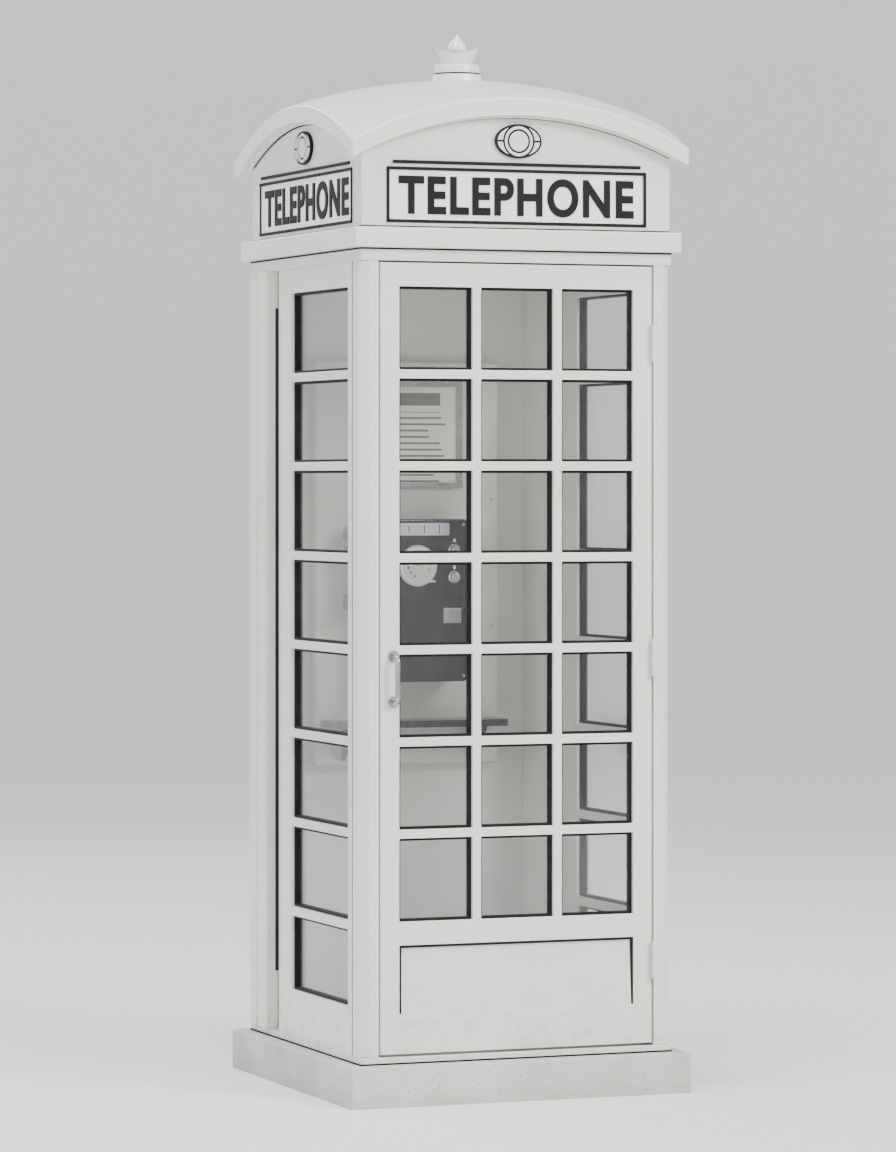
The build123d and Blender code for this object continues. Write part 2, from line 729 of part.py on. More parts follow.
def make_phone_housing():
    """Coin telephone case with a cash compartment, a return cup and bores for the moving parts."""
    with BuildPart() as housing:
        block((-PHONE_HALF, PHONE_HALF), (PHONE_FRONT, BOARD_FRONT), (PHONE_BOTTOM, PHONE_TOP))
        fillet(housing.edges().filter_by(Axis.Y), radius=14)
        fillet(housing.faces().sort_by(Axis.Y)[0].edges(), radius=5)
        block((-CASH_HALF, CASH_HALF), (PHONE_FRONT, PHONE_FRONT + 95), (CASH_BOTTOM, CASH_TOP), Mode.SUBTRACT)
        cup = (CUP_X - CUP_HALF, CUP_X + CUP_HALF)
        block(cup, (PHONE_FRONT, PHONE_FRONT + 46), (CUP_BOTTOM, CUP_TOP), Mode.SUBTRACT)
        with Locations(Location((CUP_X, PHONE_FRONT + 3, CUP_TOP - 4), (0, 90, 0))):
            Cylinder(1.5 + RUN_CLEARANCE, 2 * CUP_HALF + 8, mode=Mode.SUBTRACT)
        for z in BUTTON_ZS.values():
            with Locations(Location((BUTTON_X, PHONE_FRONT + 14, z), (90, 0, 0))):
                Cylinder(BUTTON_R + RUN_CLEARANCE, 30, mode=Mode.SUBTRACT)
        with Locations(Location((DIAL_X, PHONE_FRONT + 10, DIAL_Z), (90, 0, 0))):
            Cylinder(10, 30, mode=Mode.SUBTRACT)
        block((-PHONE_HALF, -PHONE_HALF + 18), (HANDSET_Y - 8, HANDSET_Y + 8), (HOOK_Z - 10, HOOK_Z + 12), Mode.SUBTRACT)
        with Locations(Location((-PHONE_HALF + 8, HANDSET_Y, HOOK_Z), (90, 0, 0))):
            Cylinder(2.5 + RUN_CLEARANCE, 24, mode=Mode.SUBTRACT)
        block((-98, 112), (PHONE_FRONT + 57, BOARD_FRONT), (CUP_TOP + 10, PHONE_TOP - 10), Mode.SUBTRACT)
        for low in (CASH_BOTTOM - 5, CASH_TOP - 5):
            lug = (CASH_PIVOT_X - 4, CASH_PIVOT_X + 4)
            block(lug, (CASH_PIVOT_Y - 4, PHONE_FRONT), (low, low + 10))
        with Locations((CASH_PIVOT_X, CASH_PIVOT_Y, (CASH_BOTTOM + CASH_TOP) / 2)):
            Cylinder(2 + RUN_CLEARANCE, CASH_TOP - CASH_BOTTOM + 30, mode=Mode.SUBTRACT)
    save(housing, "phone_housing")


def make_dial():
    """Number plate, finger wheel on its spindle and the finger stop."""
    plate_front = PHONE_FRONT - 9
    with BuildPart() as plate:
        with Locations(Location((DIAL_X, (plate_front + PHONE_FRONT) / 2, DIAL_Z), (90, 0, 0))):
            Cylinder(DIAL_R, PHONE_FRONT - plate_front)
        chamfer(plate.edges().group_by(Axis.Y)[0], length=3)
        with Locations(Location((DIAL_X, PHONE_FRONT, DIAL_Z), (90, 0, 0))):
            Cylinder(4 + RUN_CLEARANCE, 30, mode=Mode.SUBTRACT)
    save(plate, "dial_plate")
    wheel_back = plate_front - 0.8
    wheel_thick = 2.4
    with BuildPart() as wheel:
        with Locations(Location((DIAL_X, wheel_back - wheel_thick / 2, DIAL_Z), (90, 0, 0))):
            Cylinder(WHEEL_R, wheel_thick)
            with PolarLocations(HOLE_RING_R, 10, start_angle=-20, angular_range=270, endpoint=True):
                Cylinder(HOLE_R, 3 * wheel_thick, mode=Mode.SUBTRACT)
        with Locations(Location((DIAL_X, wheel_back + 8, DIAL_Z), (90, 0, 0))):
            Cylinder(4, 17)
        with Locations(Location((DIAL_X, wheel_back - wheel_thick - 1, DIAL_Z), (90, 0, 0))):
            Cylinder(15, 2)
    save(wheel, "finger_wheel")
    stop_x = DIAL_X + 37
    stop_z = DIAL_Z - 30
    front = wheel_back - wheel_thick - 2.6
    with BuildPart() as stop:
        block((stop_x + 1, stop_x + 7), (front, PHONE_FRONT), (stop_z - 13, stop_z - 7))
        block((stop_x - 12, stop_x + 7), (front, front + 2), (stop_z - 13, stop_z - 7))
    save(stop, "finger_stop")


def make_buttons():
    for name, z in BUTTON_ZS.items():
        with BuildPart() as button:
            with Locations(Location((BUTTON_X, PHONE_FRONT + 5, z), (90, 0, 0))):
                Cylinder(BUTTON_R, 30)
            fillet(button.edges().group_by(Axis.Y)[0], radius=2)
        save(button, name)


def make_coin_plate():
    """Plate with three coin slots of different widths."""
    low = 1378
    high = 1410
    with BuildPart() as plate:
        block((-70, 70), (PHONE_FRONT - 4, PHONE_FRONT), (low, high))
        fillet(plate.edges().filter_by(Axis.Y), radius=5)
        for x, height in ((-42, 17), (0, 21), (42, 25)):
            middle = (low + high) / 2
            slot = (middle - height / 2, middle + height / 2)
            block((x - 1.2, x + 1.2), (PHONE_FRONT - 4, PHONE_FRONT), slot, Mode.SUBTRACT)
    save(plate, "coin_plate")


def make_return_flap():
    """Push-in flap over the coin return cup, hung on its own pin ends."""
    hinge_z = CUP_TOP - 4
    half = CUP_HALF - 0.6
    with BuildPart() as flap:
        block((CUP_X - half, CUP_X + half), (PHONE_FRONT + 1.5, PHONE_FRONT + 4.5), (CUP_BOTTOM + 1, hinge_z))
        with Locations(Location((CUP_X, PHONE_FRONT + 3, hinge_z), (0, 90, 0))):
            Cylinder(3, 2 * half)
            Cylinder(1.5, 2 * CUP_HALF + 6)
    save(flap, "return_flap")


def make_cash_door():
    """Cash compartment door on stub pins, with a bore for its lock."""
    back = PHONE_FRONT - 0.3
    front = back - 6
    middle = (CASH_BOTTOM + CASH_TOP) / 2
    with BuildPart() as door:
        block((CASH_PIVOT_X, CASH_HALF + 4), (front, back), (CASH_BOTTOM - 4, CASH_TOP + 4))
        block((CASH_PIVOT_X - 5, -CASH_HALF - 1), (front - 5, back + 5), (CASH_BOTTOM - 9, CASH_TOP + 9), Mode.SUBTRACT)
        with Locations((CASH_PIVOT_X, CASH_PIVOT_Y, middle)):
            Cylinder(4, CASH_TOP - CASH_BOTTOM - 10.8)
            Cylinder(2, CASH_TOP - CASH_BOTTOM + 6)
        block((CASH_PIVOT_X, -CASH_HALF), (front, front + 4), (CASH_BOTTOM + 6, CASH_TOP - 6))
        with Locations(Location((LOCK_X, front, middle), (90, 0, 0))):
            Cylinder(LOCK_R + RUN_CLEARANCE, 30, mode=Mode.SUBTRACT)
    save(door, "cash_door")
    with BuildPart() as lock:
        with Locations(Location((LOCK_X, front + 4, middle), (90, 0, 0))):
            Cylinder(LOCK_R, 14)
        block((LOCK_X - 1, LOCK_X + 1), (front - 4, front + 2), (middle - 4.5, middle + 4.5), Mode.SUBTRACT)
    save(lock, "cash_lock")


def make_handset():
    """One-piece handset hanging upright: bar grip, ear cup above and mouth cup below."""
    with BuildPart() as handset:
        block((HANDSET_X - 10, HANDSET_X + 10), (HANDSET_Y - 12, HANDSET_Y + 12), (MOUTH_Z, EAR_Z))
        fillet(handset.edges().filter_by(Axis.Z), radius=6)
        for z, radius, depth in ((EAR_Z, 27, 34), (MOUTH_Z, 25, 38)):
            with Locations(Location((HANDSET_X, HANDSET_Y - 12 + depth / 2, z), (90, 0, 0))):
                Cylinder(radius, depth)
        rims = handset.edges().filter_by(GeomType.CIRCLE).filter_by_position(Axis.Y, HANDSET_Y + 15, HANDSET_Y + 40)
        chamfer(rims, length=4)
        with Locations((HANDSET_X, HANDSET_Y, MOUTH_Z - 28)):
            Cylinder(5, 12)
    save(handset, "handset")


def make_hook_arm():
    """Switch hook: a pivoted arm ending in a fork that carries the ear cup."""
    pivot_x = -PHONE_HALF + 8
    low = HOOK_Z
    high = EAR_Z - 27 - 0.3
    fork_in = HANDSET_X + 16
    fork_out = HANDSET_X - 22
    with BuildPart() as hook:
        block((pivot_x, fork_in + 8), (HANDSET_Y - 6, HANDSET_Y + 6), (low - 4, low + 4))
        block((fork_in, fork_in + 8), (HANDSET_Y - 24, HANDSET_Y + 24), (low - 4, high))
        for side in (-1, 1):
            prong = (HANDSET_Y + side * 16, HANDSET_Y + side * 24)
            block((fork_out, fork_in), prong, (low - 4, high))
        with Locations(Location((pivot_x, HANDSET_Y, HOOK_Z), (90, 0, 0))):
            Cylinder(4, 12)
            Cylinder(2.5, 22)
    save(hook, "hook_arm")


def make_cord_gland():
    """Rubber gland under the case where a handset cord would enter."""
    with BuildPart() as gland:
        with Locations((-90, 300, PHONE_BOTTOM - 6)):
            Cylinder(8, 12)
    save(gland, "cord_gland")


make_plinth()
make_floor_panel()
make_rings()
for sign, label in ((-1, "left"), (1, "right")):
    make_front_post(sign, f"front_post_{label}")
    make_rear_pier(sign, f"rear_pier_{label}")
    make_side(sign, label)
make_back_panel()
make_door_frame()
make_door_glazing()
make_kick_panel()
make_kick_seal()
make_door_handle()
make_handle_nuts()
make_hinges()
make_door_seal()
for label, turn in FACINGS.items():
    make_fascia(label, turn)
make_signs()
make_rosettes()
make_roof()
make_finial()
make_ceiling()
make_backboard()
make_notice()
make_shelf()
make_phone_housing()
make_dial()
make_buttons()
make_coin_plate()
make_return_flap()
make_cash_door()
make_handset()
make_hook_arm()
make_cord_gland()
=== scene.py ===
"""Blender looks for a square cast-iron telephone kiosk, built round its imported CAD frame."""

import json
import logging
import math
from dataclasses import dataclass, field
from enum import Enum
from typing import Iterable

import bmesh
import bpy
from mathutils import Matrix, Vector

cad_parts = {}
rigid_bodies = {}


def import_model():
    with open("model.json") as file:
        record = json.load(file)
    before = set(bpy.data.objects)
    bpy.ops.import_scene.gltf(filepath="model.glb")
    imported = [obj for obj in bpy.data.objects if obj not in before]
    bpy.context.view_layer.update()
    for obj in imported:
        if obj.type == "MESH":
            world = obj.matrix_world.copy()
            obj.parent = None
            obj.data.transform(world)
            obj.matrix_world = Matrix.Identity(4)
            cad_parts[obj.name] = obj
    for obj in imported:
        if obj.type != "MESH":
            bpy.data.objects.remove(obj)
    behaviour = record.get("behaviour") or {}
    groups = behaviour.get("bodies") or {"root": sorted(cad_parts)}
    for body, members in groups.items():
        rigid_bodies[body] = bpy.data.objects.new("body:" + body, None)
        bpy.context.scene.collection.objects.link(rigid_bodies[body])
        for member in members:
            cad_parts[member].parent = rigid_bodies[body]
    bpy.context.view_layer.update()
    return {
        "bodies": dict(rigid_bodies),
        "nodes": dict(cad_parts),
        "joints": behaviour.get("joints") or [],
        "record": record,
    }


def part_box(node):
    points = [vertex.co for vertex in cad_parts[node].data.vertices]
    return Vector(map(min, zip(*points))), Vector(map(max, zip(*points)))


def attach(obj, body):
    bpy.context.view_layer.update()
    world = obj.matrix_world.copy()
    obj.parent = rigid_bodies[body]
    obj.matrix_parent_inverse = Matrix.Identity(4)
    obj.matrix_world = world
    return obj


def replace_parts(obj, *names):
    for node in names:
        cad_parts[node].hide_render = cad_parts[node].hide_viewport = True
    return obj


LOG = logging.getLogger("kiosk")
MM = 0.001

Vec3 = tuple[float, float, float]
Colour = tuple[float, float, float]
Spot = tuple[float, float]


# Shader maths


class Value:
    """A shader socket that takes part in Python arithmetic."""

    def __init__(self, board: "NodeBoard", socket: bpy.types.NodeSocket) -> None:
        """Keep the board that new Math nodes go on, and the socket itself."""
        self.board = board
        self.socket = socket

    def _math(self, operation: str, first: "Value | float", second: "Value | float") -> "Value":
        """Add one Math node and return its result."""
        return self.board.add("ShaderNodeMath", {"operation": operation}, {0: first, 1: second})

    def __add__(self, other: "Value | float") -> "Value":
        """Sum."""
        return self._math("ADD", self, other)

    __radd__ = __add__

    def __mul__(self, other: "Value | float") -> "Value":
        """Product."""
        return self._math("MULTIPLY", self, other)

    __rmul__ = __mul__

    def __sub__(self, other: "Value | float") -> "Value":
        """Difference."""
        return self._math("SUBTRACT", self, other)

    def __rsub__(self, other: "Value | float") -> "Value":
        """Difference from a number."""
        return self._math("SUBTRACT", other, self)

    def above(self, low: float, high: float) -> "Value":
        """Smooth step from 0 at low to 1 at high.

        Args:
            low: the value that gives 0.
            high: the value that gives 1.

        Returns:
            The mask.
        """
        settings = {"interpolation_type": "SMOOTHSTEP", "clamp": True}
        inputs = {"Value": self, "From Min": low, "From Max": high}
        return self.board.add("ShaderNodeMapRange", settings, inputs)


class NodeBoard:
    """One material's node tree, with a Principled surface at its end."""

    def __init__(self, name: str) -> None:
        """Make the material and empty its tree."""
        self.material = bpy.data.materials.new(name)
        self.material.use_nodes = True
        self.tree = self.material.node_tree
        self.tree.nodes.clear()
        self.coords = self.add("ShaderNodeTexCoord", {}, {}, "Object")

    def add(self, kind: str, settings: dict, inputs: dict, output: str | int = 0) -> Value:
        """Add one node.

        Args:
            kind: the node's type name.
            settings: its properties, such as an operation, set first.
            inputs: socket names or places, with numbers, colours or Values.
            output: the socket to return.

        Returns:
            The chosen output as a Value.
        """
        node = self.tree.nodes.new(kind)
        for key, value in settings.items():
            setattr(node, key, value)
        for key, value in inputs.items():
            socket = node.inputs[key]
            if isinstance(value, Value):
                self.tree.links.new(value.socket, socket)
            elif isinstance(value, tuple) and socket.type == "RGBA":
                socket.default_value = (*value, 1.0)
            else:
                socket.default_value = value
        return Value(self, node.outputs[output])

    def noise(
        self, scale: float, detail: float = 3.0, rough: float = 0.55, stretch: Vec3 = (1, 1, 1)
    ) -> Value:
        """Noise on object coordinates.

        Args:
            scale: cells in a metre.
            detail: its octaves.
            rough: how strong the fine octaves are.
            stretch: how the axes are scaled first, less than 1 to draw the pattern out.

        Returns:
            The noise, about 0 to 1.
        """
        where = self.coords
        if stretch != (1, 1, 1):
            where = self.add("ShaderNodeMapping", {}, {"Vector": self.coords, "Scale": stretch})
        inputs = {"Vector": where, "Scale": scale, "Detail": detail, "Roughness": rough}
        return self.add("ShaderNodeTexNoise", {}, inputs, "Fac")

    def cells(self, scale: float) -> Value:
        """Distance to the nearest of scattered points, in cells of object coordinates."""
        return self.add(
            "ShaderNodeTexVoronoi", {}, {"Vector": self.coords, "Scale": scale}, "Distance"
        )

    def axis(self, letter: str) -> Value:
        """One object coordinate in metres."""
        return self.add("ShaderNodeSeparateXYZ", {}, {0: self.coords}, letter)

    def blend(self, mask: Value, low: "Value | Colour", high: "Value | Colour") -> Value:
        """Colour mix from low at 0 to high at 1, by the Mix node's colour sockets."""
        return self.add("ShaderNodeMix", {"data_type": "RGBA"}, {0: mask, 6: low, 7: high}, 2)

    def bump(self, height: Value, strength: float, distance: float) -> Value:
        """Bump from a height, in metres of distance."""
        inputs = {"Height": height, "Strength": strength, "Distance": distance}
        return self.add("ShaderNodeBump", {}, inputs)

    def surface(self, **inputs: "Value | float | Colour") -> bpy.types.Material:
        """End the tree in a Principled surface.

        Args:
            **inputs: its sockets, with spaces written as underscores.

        Returns:
            The finished material.
        """
        named = {key.replace("_", " "): value for key, value in inputs.items()}
        shader = self.add("ShaderNodeBsdfPrincipled", {}, named)
        end = self.tree.nodes.new("ShaderNodeOutputMaterial")
        self.tree.links.new(shader.socket, end.inputs["Surface"])
        return self.material


# Finishes


@dataclass(frozen=True)
class Enamel:
    """Gloss paint over iron or joinery, with orange peel, rain streaks and grime at its foot."""

    name: str
    colour: Colour = (0.80, 0.79, 0.75)
    shade: Colour = (0.71, 0.70, 0.655)
    grime: Colour = (0.34, 0.31, 0.26)
    chip: Colour = (0.20, 0.16, 0.13)
    gloss: float = 0.24
    splash_low: float = 0.1
    splash_high: float = 0.42

    def make(self) -> bpy.types.Material:
        """Build the material."""
        board = NodeBoard(self.name)
        patch = board.noise(2.2, 4.0)
        streak = board.noise(9.0, 4.0, 0.6, (1.0, 1.0, 0.07))
        peel = board.noise(260.0, 2.0)
        cast = board.noise(38.0, 3.0)
        foot = 1.0 - board.axis("Z").above(self.splash_low, self.splash_high)
        dirt = board.noise(24.0, 5.0, 0.65).above(0.45, 0.75) * foot
        rain = streak.above(0.55, 0.82)
        tone = board.blend(patch.above(0.35, 0.75) * 0.6, self.colour, self.shade)
        tone = board.blend(rain * 0.13, tone, self.grime)
        tone = board.blend(dirt * 0.4, tone, self.grime)
        where_chipped = board.noise(7.0, 2.0).above(0.55, 0.7)
        speck = board.noise(150.0, 2.0, 0.5).above(0.70, 0.74) * where_chipped
        tone = board.blend(speck * 0.45, tone, self.chip)
        rough = self.gloss + 0.12 * patch + 0.25 * dirt + 0.10 * rain
        relief = cast * 0.7 + peel * 0.3 - speck * 0.3
        normal = board.bump(relief, 0.32, 0.0009)
        return board.surface(
            Base_Color=tone, Roughness=rough, Normal=normal, Coat_Weight=0.35, Coat_Roughness=0.12
        )


@dataclass(frozen=True)
class Concrete:
    """Cast concrete with fine aggregate, damp patches and pin holes, which are sunk by bump and
    darkened with painted shade.
    """

    name: str
    light: Colour = (0.66, 0.65, 0.62)
    dark: Colour = (0.50, 0.485, 0.455)
    grain: Colour = (0.72, 0.70, 0.66)
    pit_shade: Colour = (0.22, 0.21, 0.19)
    wet: Colour = (0.30, 0.29, 0.26)
    damp_height: float = 0.06

    def make(self) -> bpy.types.Material:
        """Build the material."""
        board = NodeBoard(self.name)
        cloud = board.noise(5.0, 6.0, 0.65)
        sand = board.noise(320.0, 3.0, 0.7)
        stone = board.cells(190.0)
        pits = 1.0 - board.cells(42.0).above(0.08, 0.14)
        damp = 1.0 - board.axis("Z").above(0.0, self.damp_height)
        tone = board.blend(cloud.above(0.3, 0.72), self.light, self.dark)
        tone = board.blend(sand.above(0.55, 0.75) * 0.35, tone, self.grain)
        # Painted shade: the pin holes are blended towards a near-black colour, as if shade lay in
        # them.
        tone = board.blend(pits * 0.6, tone, self.pit_shade)
        tone = board.blend(damp * 0.3, tone, self.wet)
        relief = sand * 0.5 + stone * 0.5 - pits * 1.2
        normal = board.bump(relief, 0.7, 0.0012)
        return board.surface(Base_Color=tone, Roughness=0.86 - 0.1 * damp, Normal=normal)


@dataclass(frozen=True)
class Rubber:
    """Black weathered rubber."""

    name: str
    black: Colour = (0.008, 0.008, 0.009)
    bloomed: Colour = (0.022, 0.021, 0.021)

    def make(self) -> bpy.types.Material:
        """Build the material."""
        board = NodeBoard(self.name)
        grain = board.noise(400.0, 3.0)
        bloom = board.noise(14.0, 4.0).above(0.5, 0.8)
        tone = board.blend(bloom * 0.5, self.black, self.bloomed)
        return board.surface(
            Base_Color=tone,
            Roughness=0.6 + 0.2 * bloom,
            Specular_IOR_Level=0.2,
            Normal=board.bump(grain, 0.3, 0.0004),
        )


@dataclass(frozen=True)
class ClearGlass:
    """Thin window glass: clear face on, a mirror at a glance, with faint dust and ripple."""

    name: str
    tint: Colour = (0.90, 0.94, 0.94)
    face_on: float = 0.035
    glance: float = 0.36

    def make(self) -> bpy.types.Material:
        """Build the material."""
        board = NodeBoard(self.name)
        edge = board.add("ShaderNodeLayerWeight", {}, {"Blend": 0.25}, "Fresnel")
        dust = board.noise(6.0, 5.0, 0.6).above(0.5, 0.85)
        wave = board.noise(4.0, 1.0)
        return board.surface(
            Base_Color=self.tint,
            Metallic=1.0,
            Roughness=0.02 + 0.2 * dust,
            Alpha=self.face_on + self.glance * edge + 0.03 * dust,
            Normal=board.bump(wave, 0.05, 0.004),
        )


@dataclass(frozen=True)
class Opal:
    """White opal glass, softly lit from behind."""

    name: str
    glow: float = 0.25
    tint: Colour = (0.93, 0.915, 0.87)
    cloudy: Colour = (0.86, 0.84, 0.78)

    def make(self) -> bpy.types.Material:
        """Build the material."""
        board = NodeBoard(self.name)
        cloud = board.noise(7.0, 3.0)
        tone = board.blend(cloud.above(0.3, 0.8) * 0.5, self.tint, self.cloudy)
        return board.surface(
            Base_Color=tone,
            Roughness=0.16 + 0.08 * cloud,
            Emission_Color=tone,
            Emission_Strength=self.glow,
            Coat_Weight=0.4,
            Coat_Roughness=0.05,
        )


@dataclass(frozen=True)
class Metal:
    """Bare or plated metal, brushed along one axis when its stretch isn't even."""

    name: str
    colour: Colour
    rough: float
    brush: Vec3 = (1.0, 1.0, 1.0)
    tarnish: Colour = (0.25, 0.22, 0.18)
    age: float = 0.2

    def make(self) -> bpy.types.Material:
        """Build the material."""
        board = NodeBoard(self.name)
        lines = board.noise(500.0, 2.0, 0.5, self.brush)
        stain = board.noise(30.0, 5.0, 0.6).above(0.45, 0.95)
        tone = board.blend(stain * self.age, self.colour, self.tarnish)
        rough = self.rough + 0.10 * lines + 0.12 * stain
        normal = board.bump(lines, 0.12, 0.0003)
        return board.surface(Base_Color=tone, Metallic=1.0, Roughness=rough, Normal=normal)


@dataclass(frozen=True)
class DarkGloss:
    """Black stove enamel or bakelite, with fine scuffs that dull it."""

    name: str
    colour: Colour = (0.016, 0.016, 0.018)
    rubbed: Colour = (0.04, 0.038, 0.036)
    rough: float = 0.22
    scuff: float = 0.25
    coat: float = 0.3
    shine: float = 0.5

    def make(self) -> bpy.types.Material:
        """Build the material."""
        board = NodeBoard(self.name)
        rub = board.noise(110.0, 5.0, 0.6, (1.0, 1.0, 0.5)).above(0.45, 0.95)
        swirl = board.noise(6.0, 3.0).above(0.3, 0.9)
        tone = board.blend(rub * 0.12, self.colour, self.rubbed)
        rough = self.rough + self.scuff * rub + 0.08 * swirl
        grain = board.noise(330.0, 2.0)
        return board.surface(
            Base_Color=tone,
            Roughness=rough,
            Specular_IOR_Level=self.shine,
            Coat_Weight=self.coat,
            Coat_Roughness=0.1,
            Normal=board.bump(grain, 0.15, 0.0004),
        )


@dataclass(frozen=True)
class ChequerPlate:
    """Worn grey iron floor plate, polished where feet stand."""

    name: str
    iron: Colour = (0.30, 0.295, 0.285)
    polished: Colour = (0.44, 0.43, 0.415)
    dirt: Colour = (0.19, 0.17, 0.15)

    def make(self) -> bpy.types.Material:
        """Build the material."""
        board = NodeBoard(self.name)
        scuff = board.noise(18.0, 6.0, 0.7, (1.0, 0.35, 1.0)).above(0.42, 0.7)
        grit = board.noise(180.0, 4.0, 0.6)
        tone = board.blend(scuff, self.iron, self.polished)
        tone = board.blend(grit.above(0.55, 0.75) * 0.5, tone, self.dirt)
        return board.surface(
            Base_Color=tone,
            Metallic=0.55 * scuff,
            Roughness=0.72 - 0.25 * scuff,
            Normal=board.bump(grit, 0.35, 0.0008),
        )


@dataclass(frozen=True)
class PrintedCard:
    """Cream notice card with a heading band, and plain grey rules instead of words.

    Its places are metres: heights from the ground, and half widths from the card's middle.
    """

    name: str
    cream: Colour = (0.86, 0.83, 0.74)
    aged: Colour = (0.74, 0.69, 0.58)
    grey: Colour = (0.08, 0.08, 0.085)
    pitch: float = 0.0165
    top: float = 1.76
    half: float = 0.105
    shortest_by: float = 0.05
    rules_below: float = 0.062
    heading: tuple[float, float] = (0.045, 0.012)
    heading_half: float = 0.09

    def make(self) -> bpy.types.Material:
        """Build the material."""
        board = NodeBoard(self.name)
        height = board.axis("Z")
        fibre = board.noise(420.0, 4.0)
        side = board.add("ShaderNodeMath", {"operation": "ABSOLUTE"}, {0: board.axis("X")})
        band = self.level(height, self.heading[0]) * (1.0 - self.level(height, self.heading[1]))
        heading = band * (1.0 - side.above(self.heading_half, self.heading_half + 0.0005))
        ink = self.rules(board, height, side) + heading
        tone = board.blend(fibre * 0.3, self.cream, self.aged)
        tone = board.blend(ink * 0.85, tone, self.grey)
        return board.surface(
            Base_Color=tone, Roughness=0.75, Normal=board.bump(fibre, 0.2, 0.0003)
        )

    def level(self, height: Value, drop: float) -> Value:
        """1 above a level that lies some way below the card's top."""
        return height.above(self.top - drop, self.top - drop + 0.0005)

    def rules(self, board: NodeBoard, height: Value, side: Value) -> Value:
        """The grey rules, each of its own length, as a mask.

        Args:
            board: the material's nodes.
            height: the height in metres.
            side: the distance from the card's middle in metres.

        Returns:
            1 on the rules and 0 off them.
        """
        half_pitch = self.pitch / 2
        fold = board.add("ShaderNodeMath", {"operation": "PINGPONG"}, {0: height, 1: half_pitch})
        row = board.add(
            "ShaderNodeMath", {"operation": "SNAP"}, {0: height + half_pitch, 1: self.pitch}
        )
        length = board.add(
            "ShaderNodeTexNoise",
            {"noise_dimensions": "1D"},
            {"W": row, "Scale": 170.0, "Detail": 1.0},
        )
        ragged = length.above(0.35, 0.75) * self.shortest_by
        inside = 1.0 - (side + ragged).above(self.half, self.half + 0.001)
        below = 1.0 - height.above(self.top - self.rules_below, self.top - self.rules_below + 0.001)
        return (1.0 - fold.above(0.0022, 0.0028)) * inside * below


@dataclass(frozen=True)
class StudioPaper:
    """Plain pale paper, lifted a little so that the far sweep stays light."""

    name: str
    light: Colour = (0.86, 0.86, 0.855)
    dark: Colour = (0.83, 0.83, 0.825)
    lift: float = 0.22

    def make(self) -> bpy.types.Material:
        """Build the material."""
        board = NodeBoard(self.name)
        mottle = board.noise(0.6, 3.0)
        tone = board.blend(mottle * 0.3, self.light, self.dark)
        return board.surface(
            Base_Color=tone,
            Roughness=0.9,
            Specular_IOR_Level=0.2,
            Emission_Color=tone,
            Emission_Strength=self.lift,
        )


FINISHES = {
    "concrete": Concrete("concrete"),
    "floor_plate": ChequerPlate("floor_plate"),
    "enamel": Enamel("enamel"),
    "door_enamel": Enamel("door_enamel", colour=(0.815, 0.805, 0.765), gloss=0.2),
    "gasket": Rubber("gasket"),
    "glass": ClearGlass("glass"),
    "steel": Metal("steel", (0.46, 0.46, 0.47), 0.2, (1.0, 1.0, 0.03)),
    "sign_frame": DarkGloss(
        "sign_frame", colour=(0.009, 0.009, 0.01), rough=0.5, coat=0.0, shine=0.15
    ),
    "sign_opal": Opal("sign_opal"),
    "ceiling_paint": Enamel("ceiling_paint", gloss=0.4),
    "black_enamel": DarkGloss("black_enamel", scuff=0.08),
    "lamp_opal": Opal("lamp_opal", glow=1.4, tint=(0.95, 0.90, 0.80)),
    "board": Enamel("board", colour=(0.70, 0.69, 0.65), shade=(0.64, 0.63, 0.59), gloss=0.4),
    "paper": PrintedCard("paper"),
    "dial_white": Enamel("dial_white", colour=(0.88, 0.87, 0.83), gloss=0.12),
    "chrome": Metal("chrome", (0.80, 0.80, 0.81), 0.07, age=0.08),
    "brass": Metal("brass", (0.78, 0.58, 0.27), 0.22),
    "bakelite": DarkGloss(
        "bakelite", colour=(0.013, 0.012, 0.012), rough=0.13, scuff=0.18, coat=0.5
    ),
}


class Wardrobe:
    """Makes each finish once and hands it out by its slot name."""

    def __init__(self) -> None:
        """Start with nothing made."""
        self.made: dict[str, bpy.types.Material] = {}

    def get(self, slot: str) -> bpy.types.Material:
        """The material of a slot."""
        if slot not in self.made:
            self.made[slot] = FINISHES[slot].make()
        return self.made[slot]


# Mesh work


def frame_of(angle: float, half: float) -> Matrix:
    """Placement on one face of the kiosk: local x to a viewer's right, y up, z out of the face.

    Args:
        angle: the face's turn about +Z in degrees, 0 for the door's face.
        half: the face's distance from the kiosk's axis.

    Returns:
        The matrix from the face's own axes to the row frame.
    """
    turn = math.radians(angle)
    right = Vector((math.cos(turn), math.sin(turn), 0.0))
    out = Vector((math.sin(turn), -math.cos(turn), 0.0))
    up = Vector((0.0, 0.0, 1.0))
    matrix = Matrix((right, up, out)).transposed().to_4x4()
    matrix.translation = out * half
    return matrix


def edges_of(verts: Iterable[bmesh.types.BMVert]) -> list[bmesh.types.BMEdge]:
    """The edges at some vertices, each once and in an order that every run repeats."""
    return list(dict.fromkeys(edge for vert in verts for edge in vert.link_edges))


